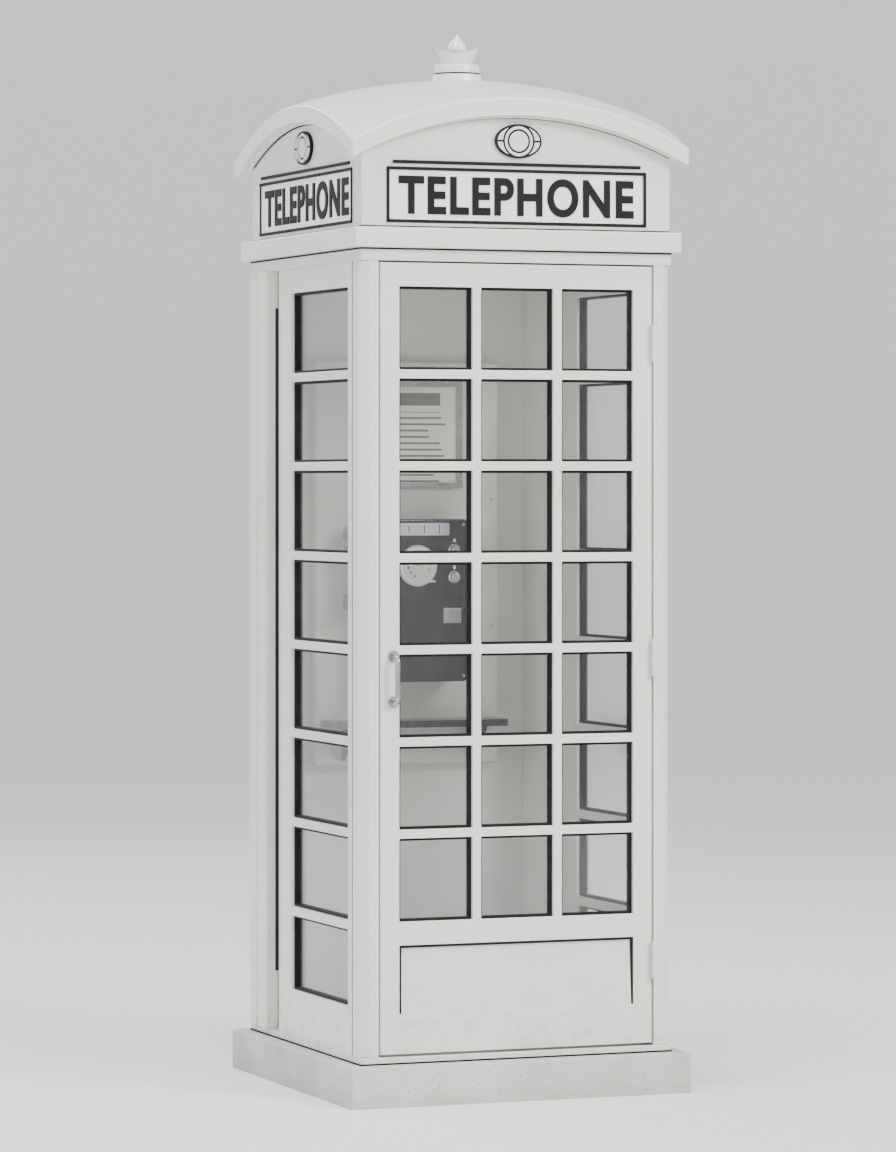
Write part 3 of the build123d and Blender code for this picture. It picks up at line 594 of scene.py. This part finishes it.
class Carving:
    """A piece under construction: a bmesh with the few shapes that the kiosk's trim needs."""

    def __init__(self, name: str) -> None:
        """Start an empty piece."""
        self.name = name
        self.mesh = bmesh.new()

    def box(
        self, low: Vec3, high: Vec3, place: Matrix = Matrix.Identity(4), bevel: float = 0.0
    ) -> None:
        """Add a box between two corners, with its edges rounded by bevel."""
        size = [b - a for a, b in zip(low, high)]
        centre = [(a + b) / 2 for a, b in zip(low, high)]
        matrix = place @ Matrix.Translation(centre) @ Matrix.Diagonal((*size, 1.0))
        made = bmesh.ops.create_cube(self.mesh, size=1.0, matrix=matrix)
        if bevel:
            self.round(edges_of(made["verts"]), bevel)

    def round(self, edges: list[bmesh.types.BMEdge], width: float) -> None:
        """Round some edges."""
        bmesh.ops.bevel(
            self.mesh,
            geom=edges,
            offset=width,
            affect="EDGES",
            segments=2,
            profile=0.5,
            material=-1,
        )

    def drum(
        self,
        place: Matrix,
        radius: float,
        depth: float,
        top: float | None = None,
        segments: int = 32,
    ) -> None:
        """Add a capped cylinder or cone that stands on a placement's origin.

        Args:
            place: where it stands, with z along its axis.
            radius: its foot's radius.
            depth: its height.
            top: its top's radius, or None for the foot's.
            segments: its sides.
        """
        bmesh.ops.create_cone(
            self.mesh,
            cap_ends=True,
            segments=segments,
            radius1=radius,
            radius2=radius if top is None else top,
            depth=depth,
            matrix=place @ Matrix.Translation((0, 0, depth / 2)),
        )

    def turned(self, outline: Iterable[Spot], place: Matrix, steps: int = 48) -> None:
        """Spin an outline of (radius, height) points round the placement's z."""
        verts = [self.mesh.verts.new(place @ Vector((r, 0.0, z))) for r, z in outline]
        edges = [self.mesh.edges.new(pair) for pair in zip(verts, verts[1:])]
        bmesh.ops.spin(
            self.mesh,
            geom=verts + edges,
            cent=place.translation,
            axis=place.to_3x3() @ Vector((0, 0, 1)),
            angle=math.tau,
            steps=steps,
            use_merge=True,
        )
        bmesh.ops.remove_doubles(self.mesh, verts=self.mesh.verts, dist=1e-6)

    def stamp(self, source: bpy.types.Mesh, place: Matrix) -> None:
        """Add a copy of a finished mesh."""
        before = len(self.mesh.verts)
        self.mesh.from_mesh(source)
        self.mesh.verts.ensure_lookup_table()
        bmesh.ops.transform(self.mesh, matrix=place, verts=self.mesh.verts[before:])

    def mesh_data(self) -> bpy.types.Mesh:
        """Close the bmesh and return it as a mesh of the same name."""
        data = bpy.data.meshes.new(self.name)
        self.mesh.to_mesh(data)
        self.mesh.free()
        return data

    def finish(
        self, wardrobe: Wardrobe, slot: str, body: str, smooth: float = 30.0
    ) -> bpy.types.Object:
        """Turn the bmesh into a dressed piece that rides on a body.

        Args:
            wardrobe: where its finish comes from.
            slot: the material slot it belongs to.
            body: the CAD body it moves with.
            smooth: the angle in degrees under which faces shade as one.

        Returns:
            The new object.
        """
        bmesh.ops.recalc_face_normals(self.mesh, faces=self.mesh.faces)
        data = self.mesh_data()
        data.shade_smooth()
        data.set_sharp_from_angle(angle=math.radians(smooth))
        data.materials.append(wardrobe.get(slot))
        piece = bpy.data.objects.new(self.name, data)
        bpy.context.scene.collection.objects.link(piece)
        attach(piece, body)
        LOG.info("%s: %d faces on %s", self.name, len(data.polygons), body)
        return piece


@dataclass(frozen=True)
class SlottedHead:
    """A domed screw head standing on z = 0, with its slot along x."""

    radius: float
    depth: float
    sides: int = 14
    crown: float = 0.72
    slot: float = 0.13
    slot_floor: float = 0.45

    def make(self) -> bpy.types.Mesh:
        """Cut a cone to two halves beside the slot, and join them by the slot's floor."""
        head = Carving("slotted_head")
        flat = Matrix.Identity(4)
        head.drum(flat, self.radius, self.depth * self.slot_floor, segments=self.sides)
        for side in (-1, 1):
            half = Carving("half_head")
            half.drum(flat, self.radius, self.depth, self.radius * self.crown, self.sides)
            cut = bmesh.ops.bisect_plane(
                half.mesh,
                geom=half.mesh.verts[:] + half.mesh.edges[:] + half.mesh.faces[:],
                plane_co=(0, side * self.radius * self.slot, 0),
                plane_no=(0, side, 0),
                clear_inner=True,
            )
            rim = [item for item in cut["geom_cut"] if isinstance(item, bmesh.types.BMEdge)]
            bmesh.ops.edgeloop_fill(half.mesh, edges=rim)
            lump = half.mesh_data()
            head.stamp(lump, flat)
            bpy.data.meshes.remove(lump)
        return head.mesh_data()


def lettering(
    words: str, height: float, width: float | None, depth: float, weight: float
) -> bpy.types.Mesh:
    """Raised lettering centred on the origin, in the built-in typeface.

    Args:
        words: the characters.
        height: their height.
        width: the width to stretch them to, or None to keep their shape.
        depth: how far they stand out along +z.
        weight: how much each stroke is thickened, as a share of the height.

    Returns:
        A mesh with its back on z = 0.
    """
    curve = bpy.data.curves.new("lettering", "FONT")
    curve.body = words
    curve.size = 1.0
    curve.offset = weight
    curve.space_character = 1.13
    curve.extrude = 0.1
    curve.bevel_depth = 0.008
    curve.bevel_resolution = 1
    curve.resolution_u = 6
    text = bpy.data.objects.new("lettering", curve)
    bpy.context.scene.collection.objects.link(text)
    bpy.context.view_layer.update()
    graph = bpy.context.evaluated_depsgraph_get()
    data = bpy.data.meshes.new_from_object(text.evaluated_get(graph))
    bpy.data.objects.remove(text)
    bpy.data.curves.remove(curve)
    corners = [tuple(vert.co) for vert in data.vertices]
    low = [min(axis) for axis in zip(*corners)]
    high = [max(axis) for axis in zip(*corners)]
    tall = height / (high[1] - low[1])
    wide = width / (high[0] - low[0]) if width else tall
    middle = Vector(((low[0] + high[0]) / 2, (low[1] + high[1]) / 2, low[2]))
    scale = Matrix.Diagonal((wide, tall, depth / (high[2] - low[2]), 1.0))
    data.transform(scale @ Matrix.Translation(-middle))
    return data


# Sub-assemblies


class Face(Enum):
    """The kiosk's four faces, as turns about +Z in degrees."""

    FRONT = 0
    RIGHT = 90
    BACK = 180
    LEFT = 270


@dataclass
class Shell:
    """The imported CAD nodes: each gets its finish, and some get edges softened by millimetres."""

    frame: dict
    wardrobe: Wardrobe
    soft_edges: dict[str, float] = field(
        default_factory=lambda: {
            "plinth": 4.0,
            "sill_frame": 2.0,
            "head_frame": 2.0,
            "lintel": 4.0,
            "front_post_left": 2.5,
            "front_post_right": 2.5,
            "rear_pier_left": 2.0,
            "rear_pier_right": 2.0,
            "side_frame_left": 2.0,
            "side_frame_right": 2.0,
            "back_panel": 2.0,
            "door_frame": 2.0,
            "kick_panel": 1.0,
            "fascia_front": 1.5,
            "fascia_back": 1.5,
            "fascia_left": 1.5,
            "fascia_right": 1.5,
            "sign_frames": 1.0,
            "fascia_beads": 2.0,
            "rosettes": 1.0,
            "roof_dome": 4.0,
            "finial_base": 1.5,
            "finial_crown": 1.2,
            "door_gaskets": 1.5,
            "side_gaskets_left": 1.5,
            "side_gaskets_right": 1.5,
            "shelf": 1.5,
            "notice_frame": 1.5,
            "cash_door": 1.0,
            "hook_arm": 1.2,
            "dial_plate": 0.8,
            "finger_wheel": 0.5,
            "coin_plate": 0.6,
        }
    )
    edge_angle: float = 28.0
    weld: float = 1e-5

    def dress(self) -> None:
        """Give every node its finish and every listed node a rounded edge."""
        for part in self.frame["record"]["subparts"]:
            node = self.frame["nodes"][part["node"]]
            node.data.materials.clear()
            node.data.materials.append(self.wardrobe.get(part["material_slot"]))
            width = self.soft_edges.get(part["node"])
            if width:
                self.soften(node, width * MM)

    def soften(self, node: bpy.types.Object, width: float) -> None:
        """Weld the triangles and round the sharp edges with modifiers."""
        weld = node.modifiers.new("weld", "WELD")
        weld.merge_threshold = self.weld
        bevel = node.modifiers.new("edges", "BEVEL")
        bevel.width = width
        bevel.segments = 3
        bevel.limit_method = "ANGLE"
        bevel.angle_limit = math.radians(self.edge_angle)
        bevel.harden_normals = True
        bevel.use_clamp_overlap = True


@dataclass
class Signs:
    """The four lit signs' raised lettering and frame screws, and the rosettes' black inlay."""

    wardrobe: Wardrobe
    words: str = "TELEPHONE"
    half_width: float = 0.344
    fill_width: float = 0.905
    fill_height: float = 0.70
    weight: float = 0.024
    depth: float = 3.0 * MM
    screw_radius: float = 2.7 * MM
    screw_height: float = 2.0 * MM
    screw_inset: float = 4.0 * MM
    screw_columns: tuple[float, ...] = (-1.0, -0.333, 0.333, 1.0)
    rosette_half: float = 0.061
    inlay_depth: float = 4.6 * MM
    inlay_sunk: float = 0.5 * MM

    def build(self) -> None:
        """Make the letters, the rosettes' inlay and the screws for each face."""
        self.letters()
        self.inlays()
        self.screws()

    def letters(self) -> None:
        """One word on each face's opal glass."""
        low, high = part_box("sign_frames")
        glass_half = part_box("sign_glasses")[1][0]
        height = (high[2] - low[2]) * self.fill_height
        width = 2 * self.half_width * self.fill_width
        rise = Matrix.Translation((0, (low[2] + high[2]) / 2, 0))
        word = lettering(self.words, height, width, self.depth, self.weight)
        for face in Face:
            letters = Carving(f"sign_letters_{face.name.lower()}")
            letters.stamp(word, frame_of(face.value, glass_half) @ rise)
            letters.finish(self.wardrobe, "sign_frame", "kiosk")

    def inlays(self) -> None:
        """Black ovals that fill the lines between each rosette's pieces."""
        inlays = Carving("rosette_inlays")
        disc_low, disc_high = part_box("rosettes")
        plate_low, plate_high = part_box("rosette_plates")
        rise = (disc_low[2] + disc_high[2]) / 2
        half_height = (plate_high[2] - plate_low[2]) / 2
        oval = Matrix.Diagonal((self.rosette_half, half_height, 1.0, 1.0))
        seat = Matrix.Translation((0, rise, -self.inlay_sunk))
        for face in Face:
            place = frame_of(face.value, plate_high[0]) @ seat @ oval
            inlays.drum(place, 1.0, self.inlay_depth, segments=72)
        inlays.finish(self.wardrobe, "sign_frame", "kiosk")

    def screws(self) -> None:
        """Black screws along the top and bottom bars of each sign's frame."""
        low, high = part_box("sign_frames")
        middle = (low[2] + high[2]) / 2
        reach = self.half_width - self.screw_inset
        rise = (high[2] - low[2]) / 2 - self.screw_inset
        head = SlottedHead(self.screw_radius, self.screw_height).make()
        screws = Carving("sign_screws")
        for face in Face:
            plane = frame_of(face.value, high[0])
            for row in (-1, 1):
                for column in self.screw_columns:
                    spot = Matrix.Translation((column * reach, middle + row * rise, 0.0))
                    turn = Matrix.Rotation(0.7 * column + row, 4, "Z")
                    screws.stamp(head, plane @ spot @ turn)
        screws.finish(self.wardrobe, "sign_frame", "kiosk")


@dataclass
class JointLines:
    """Black mastic and rubber lines in the shell's joints, recesses and grooves.

    A ledge is (distance from the kiosk's axis, height of the line's foot). An upright is
    (distance of its wall from the middle, y of the line's front edge).
    """

    frame: dict
    wardrobe: Wardrobe
    proud: float = 1.6 * MM
    width: float = 4.0 * MM
    ledges: tuple[Spot, ...] = ((0.408, 2.135), (0.411, 2.081), (0.411, 0.100))
    uprights: tuple[Spot, ...] = ((0.409, -0.351), (0.412, 0.340), (0.387, 0.259))
    upright_span: Spot = (0.119, 2.053)
    jamb_wall: float = 0.409
    jamb_y: float = 0.2005
    jamb_depth: float = 8.0 * MM
    jamb_proud: float = 7.0 * MM
    jamb_round: float = 2.0 * MM
    jamb_span: Spot = (0.273, 1.958)
    fascia_half: float = 0.408
    crest_above: float = 2.29
    overlap: float = 0.2 * MM
    groove_drop: float = 26.0 * MM
    groove_radius: float = 0.0588
    groove_height: float = 3.6 * MM

    def build(self) -> None:
        """Make the level, upright and curved lines."""
        self.mastic()
        self.jamb_seals()
        self.soffit_lines()

    def mastic(self) -> None:
        """Lines round the ledges, up the corners and in the finial's groove."""
        lines = Carving("mastic_joints")
        for face in Face:
            for half, foot in self.ledges:
                plane = frame_of(face.value, half)
                high = (half, foot + self.width, self.proud)
                lines.box((-half, foot, -self.proud), high, plane)
        for side in (-1, 1):
            for wall, y in self.uprights:
                low = (side * wall - self.proud, y, self.upright_span[0])
                high = (side * wall + self.proud, y + self.width, self.upright_span[1])
                lines.box(low, high)
        groove = Matrix.Translation((0, 0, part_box("finial_base")[1][2] - self.groove_drop))
        lines.drum(groove, self.groove_radius, self.groove_height, segments=64)
        lines.finish(self.wardrobe, "gasket", "kiosk")

    def jamb_seals(self) -> None:
        """Rubber strips with rounded edges down the rear edges of the side frames."""
        seals = Carving("jamb_seals")
        back = self.jamb_y + self.jamb_depth
        for side in (-1, 1):
            low = (side * self.jamb_wall - self.jamb_proud, self.jamb_y, self.jamb_span[0])
            high = (side * self.jamb_wall + self.jamb_proud, back, self.jamb_span[1])
            seals.box(low, high, bevel=self.jamb_round)
        seals.finish(self.wardrobe, "gasket", "kiosk")

    def soffit_lines(self) -> None:
        """Lines along the curved tops of the fascias, under the roof's rim."""
        lines = Carving("soffit_joints")
        for face in Face:
            plane = frame_of(face.value, self.fascia_half)
            crest = self.crest(f"fascia_{face.name.lower()}", plane.inverted())
            for start, end in zip(crest, crest[1:]):
                run = end - start
                turn = Matrix.Rotation(math.atan2(run.y, run.x), 4, "Z")
                low = (-self.overlap, -self.width, -self.proud)
                high = (run.length + self.overlap, 0.0, self.proud)
                lines.box(low, high, plane @ Matrix.Translation(start) @ turn)
        lines.finish(self.wardrobe, "gasket", "kiosk")

    def crest(self, node: str, to_plane: Matrix) -> list[Vector]:
        """Points along a fascia's curved top, from a viewer's left to right.

        Args:
            node: the fascia.
            to_plane: the matrix from the row frame to the face's own axes.

        Returns:
            The points, in the face's own axes.
        """
        spots = [to_plane @ vert.co for vert in self.frame["nodes"][node].data.vertices]
        on_face = [v for v in spots if abs(v.z) < 0.5 * MM and v.y > self.crest_above]
        outer = {(round(v.x, 4), round(v.y, 4)) for v in on_face}
        return [Vector((x, y, 0.0)) for x, y in sorted(outer)]


@dataclass(frozen=True)
class ScrewPlan:
    """A set of like screws: name, finish, a head's radius, the wall's y and the places."""

    name: str
    slot: str
    radius: float
    wall: float
    columns: tuple[float, ...]
    rows: tuple[float, ...]


@dataclass
class Telephone:
    """The coin telephone's small fittings: dial numbers, rings, collars, letters and screws."""

    wardrobe: Wardrobe
    dial: Vec3 = (-0.018, 0.226, 1.300)
    ring: float = 0.029
    first_turn: float = -20.0
    step: float = 30.0
    digits: str = "1234567890"
    digit_height: float = 7.5 * MM
    digit_depth: float = 0.4 * MM
    stroke: float = 0.03
    button_x: float = 0.085
    buttons: tuple[tuple[str, float], ...] = (("A", 1.340), ("B", 1.270))
    letter_height: float = 10.0 * MM
    letter_depth: float = 0.6 * MM
    letter_rise: float = 25.0 * MM
    case_front: float = 0.235
    dial_ring: tuple[Spot, ...] = (
        (0.0502, 0.0),
        (0.0545, 0.0),
        (0.0545, 0.002),
        (0.0532, 0.0042),
        (0.0515, 0.0042),
        (0.0502, 0.003),
        (0.0502, 0.0),
    )
    collar: tuple[Spot, ...] = (
        (0.0118, 0.0),
        (0.0165, 0.0),
        (0.0165, 0.001),
        (0.0145, 0.0032),
        (0.0122, 0.0032),
        (0.0118, 0.0),
    )
    cap: tuple[Spot, ...] = ((0.0, 0.0012), (0.005, 0.001), (0.0085, 0.0))
    screw_plans: tuple[ScrewPlan, ...] = (
        ScrewPlan("case_screws", "chrome", 4.2 * MM, 0.235, (-0.110, 0.110), (1.0145, 1.4055)),
        ScrewPlan("coin_plate_screws", "chrome", 2.4 * MM, 0.231, (-0.063, 0.063), (1.394,)),
        ScrewPlan("notice_screws", "brass", 3.0 * MM, 0.343, (-0.142, 0.142), (1.508, 1.772)),
        ScrewPlan(
            "board_screws", "brass", 5.0 * MM, 0.355, (-0.235, 0.235), (0.81, 1.14, 1.47, 1.80)
        ),
    )

    def build(self) -> None:
        """Make every fitting."""
        self.numbers()
        self.trim()
        for plan in self.screw_plans:
            self.screws(plan)

    def front(self, x: float, y: float, z: float) -> Matrix:
        """A place whose z points out of the telephone's front."""
        return frame_of(0, -y) @ Matrix.Translation((x, z, 0.0))

    def numbers(self) -> None:
        """Black digits under the finger holes and pale letters over the buttons."""
        digits = Carving("dial_digits")
        x, y, z = self.dial
        for place, digit in enumerate(self.digits):
            turn = math.radians(self.first_turn + self.step * place)
            spot = self.front(x + self.ring * math.cos(turn), y, z + self.ring * math.sin(turn))
            mark = lettering(digit, self.digit_height, None, self.digit_depth, self.stroke)
            digits.stamp(mark, spot)
        digits.finish(self.wardrobe, "sign_frame", "kiosk")
        letters = Carving("button_letters")
        for letter, z in self.buttons:
            spot = self.front(self.button_x, self.case_front, z + self.letter_rise)
            mark = lettering(letter, self.letter_height, None, self.letter_depth, self.stroke)
            letters.stamp(mark, spot)
        letters.finish(self.wardrobe, "dial_white", "kiosk")

    def trim(self) -> None:
        """Ring round the dial, collars round the buttons and the cap on the finger wheel."""
        x, _, z = self.dial
        trim = Carving("telephone_trim")
        trim.turned(self.dial_ring, self.front(x, self.case_front, z))
        for _, height in self.buttons:
            place = self.front(self.button_x, self.case_front, height)
            trim.turned(self.collar, place, steps=32)
        trim.finish(self.wardrobe, "chrome", "kiosk")
        cap = Carving("dial_cap")
        cap.turned(self.cap, self.front(x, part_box("finger_wheel")[0][1], z), steps=32)
        cap.finish(self.wardrobe, "brass", "dial")

    def screws(self, plan: ScrewPlan) -> None:
        """Slotted screws at a plan's columns and rows, each turned its own way."""
        screws = Carving(plan.name)
        head = SlottedHead(plan.radius, plan.radius * 0.5).make()
        spots = [(x, z) for x in plan.columns for z in plan.rows]
        for place, (x, z) in enumerate(spots):
            turn = Matrix.Rotation(0.9 + 1.3 * place, 4, "Z")
            screws.stamp(head, self.front(x, plan.wall, z) @ turn)
        screws.finish(self.wardrobe, plan.slot, "kiosk")


@dataclass
class Handset:
    """The handset: a bowed, waisted grip between a domed ear cup and a flared mouth cup.

    A station is (height, y of the grip's middle, half width, half depth). A cup's outline is
    (radius, distance behind its front).
    """

    wardrobe: Wardrobe
    x: float = -0.172
    cup_front: float = 0.276
    ear_z: float = 1.380
    mouth_z: float = 1.205
    stations: tuple[tuple[float, float, float, float], ...] = (
        (1.205, 0.2880, 0.0130, 0.0118),
        (1.226, 0.2865, 0.0112, 0.0116),
        (1.252, 0.2857, 0.0100, 0.0108),
        (1.282, 0.2853, 0.0096, 0.0104),
        (1.308, 0.2857, 0.0098, 0.0106),
        (1.332, 0.2870, 0.0104, 0.0110),
        (1.356, 0.2880, 0.0114, 0.0114),
        (1.380, 0.2880, 0.0130, 0.0118),
    )
    ear: tuple[Spot, ...] = (
        (0.0, 0.0),
        (0.012, 0.0006),
        (0.020, 0.0042),
        (0.0246, 0.0105),
        (0.0254, 0.0168),
        (0.0246, 0.0176),
        (0.0268, 0.0190),
        (0.0270, 0.0298),
        (0.0256, 0.0330),
        (0.0212, 0.0340),
        (0.0180, 0.0326),
        (0.0, 0.0316),
    )
    mouth: tuple[Spot, ...] = (
        (0.0, 0.0),
        (0.010, 0.0010),
        (0.0158, 0.0056),
        (0.0176, 0.0140),
        (0.0170, 0.0156),
        (0.0200, 0.0218),
        (0.0244, 0.0300),
        (0.0250, 0.0340),
        (0.0236, 0.0374),
        (0.0190, 0.0380),
        (0.0166, 0.0360),
        (0.0, 0.0352),
    )
    boss: tuple[Spot, ...] = (
        (0.0, 0.012),
        (0.0062, 0.012),
        (0.0052, 0.004),
        (0.0048, 0.0004),
        (0.0, 0.0),
    )
    boss_y: float = 0.288
    boss_drop: float = 33.5 * MM
    hole_ring: float = 8.5 * MM
    hole_count: int = 6
    hole_radius: float = 1.6 * MM
    hole_depth: float = 0.6 * MM
    hole_sunk: float = 0.4 * MM

    def build(self) -> None:
        """Make the shell, and the holes in its cups as black dots of painted shade."""
        shell = Carving("handset_shell")
        self.grip(shell)
        shell.turned(self.ear, self.facing_back(self.ear_z, 0.0))
        shell.turned(self.mouth, self.facing_back(self.mouth_z, 0.0))
        foot = Matrix.Translation((self.x, self.boss_y, self.mouth_z - self.boss_drop))
        shell.turned(self.boss, foot, steps=24)
        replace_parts(shell.finish(self.wardrobe, "bakelite", "handset", smooth=50.0), "handset")
        # Painted shade: the cups' holes are black discs, not cut holes.
        holes = Carving("handset_hole_shade")
        for z, cup in ((self.ear_z, self.ear), (self.mouth_z, self.mouth)):
            self.rosette_of_holes(holes, self.facing_back(z, cup[-1][1] - self.hole_sunk))
        holes.finish(self.wardrobe, "gasket", "handset")

    def rosette_of_holes(self, holes: Carving, centre: Matrix) -> None:
        """A ring of dark dots round a middle one, painted shade that stands in for holes."""
        step = math.tau / self.hole_count
        ring = [Vector((math.cos(step * i), math.sin(step * i), 0)) for i in range(self.hole_count)]
        for spot in (*ring, Vector((0, 0, 0))):
            place = centre @ Matrix.Translation(spot * self.hole_ring)
            holes.drum(place, self.hole_radius, self.hole_depth, segments=12)

    def facing_back(self, z: float, depth: float) -> Matrix:
        """A place on a cup's axis whose z points towards the backboard."""
        turn = Matrix.Rotation(math.radians(-90), 4, "X")
        return Matrix.Translation((self.x, self.cup_front + depth, z)) @ turn

    def grip(self, shell: Carving) -> None:
        """Extrude a ring through the grip's stations."""
        first = self.station(self.stations[0])
        made = bmesh.ops.create_circle(shell.mesh, segments=24, radius=1.0, matrix=first)
        edges = edges_of(made["verts"])
        for before, after in zip(self.stations, self.stations[1:]):
            made = bmesh.ops.extrude_edge_only(shell.mesh, edges=edges)["geom"]
            ring = [item for item in made if isinstance(item, bmesh.types.BMVert)]
            edges = [item for item in made if isinstance(item, bmesh.types.BMEdge)]
            step = self.station(after) @ self.station(before).inverted()
            bmesh.ops.transform(shell.mesh, matrix=step, verts=ring)

    def station(self, numbers: tuple[float, float, float, float]) -> Matrix:
        """A unit ring's place at one station: height, depth and the two half widths."""
        z, y, wide, deep = numbers
        return Matrix.Translation((self.x, y, z)) @ Matrix.Diagonal((wide, deep, 1.0, 1.0))


@dataclass
class FloorStuds:
    """Raised lozenges on the floor plate, clear of its holes, which are (x, y, clearance)."""

    wardrobe: Wardrobe
    half: float = 0.330
    count: int = 14
    length: float = 13.0 * MM
    height: float = 1.4 * MM
    sunk: float = 0.2 * MM
    slimness: float = 0.36
    top_share: float = 0.72
    holes: tuple[Vec3, ...] = (
        (-0.3, -0.3, 0.030),
        (0.3, -0.3, 0.030),
        (-0.3, 0.3, 0.030),
        (0.3, 0.3, 0.030),
        (0.0, 0.29, 0.046),
    )

    def build(self) -> None:
        """Make all the studs as one piece."""
        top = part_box("floor_panel")[1][2]
        studs = Carving("floor_studs")
        step = 2 * self.half / (self.count - 1)
        slim = Matrix.Diagonal((1.0, self.slimness, 1.0, 1.0))
        for row in range(self.count):
            for column in range(self.count):
                x = column * step - self.half
                y = row * step - self.half
                if any(math.hypot(x - a, y - b) < gap for a, b, gap in self.holes):
                    continue
                lean = Matrix.Rotation(math.radians(45 if (row + column) % 2 else -45), 4, "Z")
                place = Matrix.Translation((x, y, top - self.sunk)) @ lean @ slim
                tip = self.length * self.top_share
                studs.drum(place, self.length, self.height, tip, segments=10)
        studs.finish(self.wardrobe, "floor_plate", "kiosk")


@dataclass(frozen=True)
class Softbox:
    """A square area light: its place, side in metres, watts and colour."""

    name: str
    place: Vec3
    size: float
    power: float
    colour: Colour = (1.0, 1.0, 1.0)


@dataclass
class Studio:
    """Pale sweep of paper all round, soft lights and the camera."""

    lights: tuple[Softbox, ...] = (
        Softbox("key", (4.2, -7.6, 6.2), 3.0, 900.0, (1.0, 0.985, 0.96)),
        Softbox("fill", (-7.0, -3.5, 3.2), 4.0, 150.0, (0.94, 0.97, 1.0)),
        Softbox("rim", (-3.0, 6.5, 6.0), 4.0, 300.0),
        Softbox("top", (-1.2, -1.2, 6.4), 2.4, 260.0),
    )
    aim: Vec3 = (0.0, 0.0, 1.3)
    air: Colour = (0.95, 0.96, 0.98)
    air_strength: float = 0.6
    eye: Vec3 = (-4.349, -11.109, 1.513)
    yaw: float = 21.27
    lens: float = 147.0
    shift: float = -0.0806
    sensor: float = 36.0
    far: float = 300.0
    flat_radius: float = 4.0
    floor_radius: float = 17.0
    sweep: float = 7.0
    sweep_steps: int = 16
    wall_top: float = 16.0

    def build(self) -> None:
        """Set up the stage."""
        self.bowl()
        self.world()
        for softbox in self.lights:
            self.hang(softbox)
        self.camera()

    def bowl(self) -> None:
        """A floor that curves up into a wall far from the kiosk, so that no horizon shows."""
        sweep = Carving("studio_floor")
        outline = [(0.0, 0.0), (self.flat_radius, 0.0), (self.floor_radius, 0.0)]
        for step in range(1, self.sweep_steps + 1):
            turn = math.pi / 2 * step / self.sweep_steps
            reach = self.floor_radius + self.sweep * math.sin(turn)
            outline.append((reach, self.sweep * (1 - math.cos(turn))))
        outline.append((self.floor_radius + self.sweep, self.wall_top))
        sweep.turned(outline, Matrix.Identity(4), steps=96)
        data = sweep.mesh_data()
        data.shade_smooth()
        data.materials.append(StudioPaper("studio_floor").make())
        floor = bpy.data.objects.new("studio_floor", data)
        bpy.context.scene.collection.objects.link(floor)

    def world(self) -> None:
        """Even pale surroundings."""
        world = bpy.data.worlds.new("studio")
        world.use_nodes = True
        background = world.node_tree.nodes["Background"]
        background.inputs["Color"].default_value = (*self.air, 1.0)
        background.inputs["Strength"].default_value = self.air_strength
        bpy.context.scene.world = world

    def hang(self, softbox: Softbox) -> None:
        """Hang one softbox, aimed at the middle of the kiosk."""
        data = bpy.data.lights.new(softbox.name, "AREA")
        data.size = softbox.size
        data.energy = softbox.power
        data.color = softbox.colour
        lamp = bpy.data.objects.new(softbox.name, data)
        lamp.location = softbox.place
        aim = Vector(self.aim) - Vector(softbox.place)
        lamp.rotation_euler = aim.to_track_quat("-Z", "Y").to_euler()
        bpy.context.scene.collection.objects.link(lamp)

    def camera(self) -> None:
        """A level long-lens camera from the front left, shifted down."""
        data = bpy.data.cameras.new("camera")
        data.sensor_fit = "VERTICAL"
        data.sensor_height = self.sensor
        data.lens = self.lens
        data.shift_y = self.shift
        data.clip_end = self.far
        eye = bpy.data.objects.new("camera", data)
        eye.location = self.eye
        eye.rotation_euler = (math.radians(90.0), 0.0, math.radians(-self.yaw))
        bpy.context.scene.collection.objects.link(eye)
        bpy.context.scene.camera = eye


def main() -> None:
    """Build the kiosk's looks round its frame."""
    logging.basicConfig(level=logging.INFO, format="%(name)s: %(message)s")
    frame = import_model()
    wardrobe = Wardrobe()
    Shell(frame, wardrobe).dress()
    Signs(wardrobe).build()
    JointLines(frame, wardrobe).build()
    Telephone(wardrobe).build()
    Handset(wardrobe).build()
    FloorStuds(wardrobe).build()
    Studio().build()


if __name__ == "__main__":
    main()
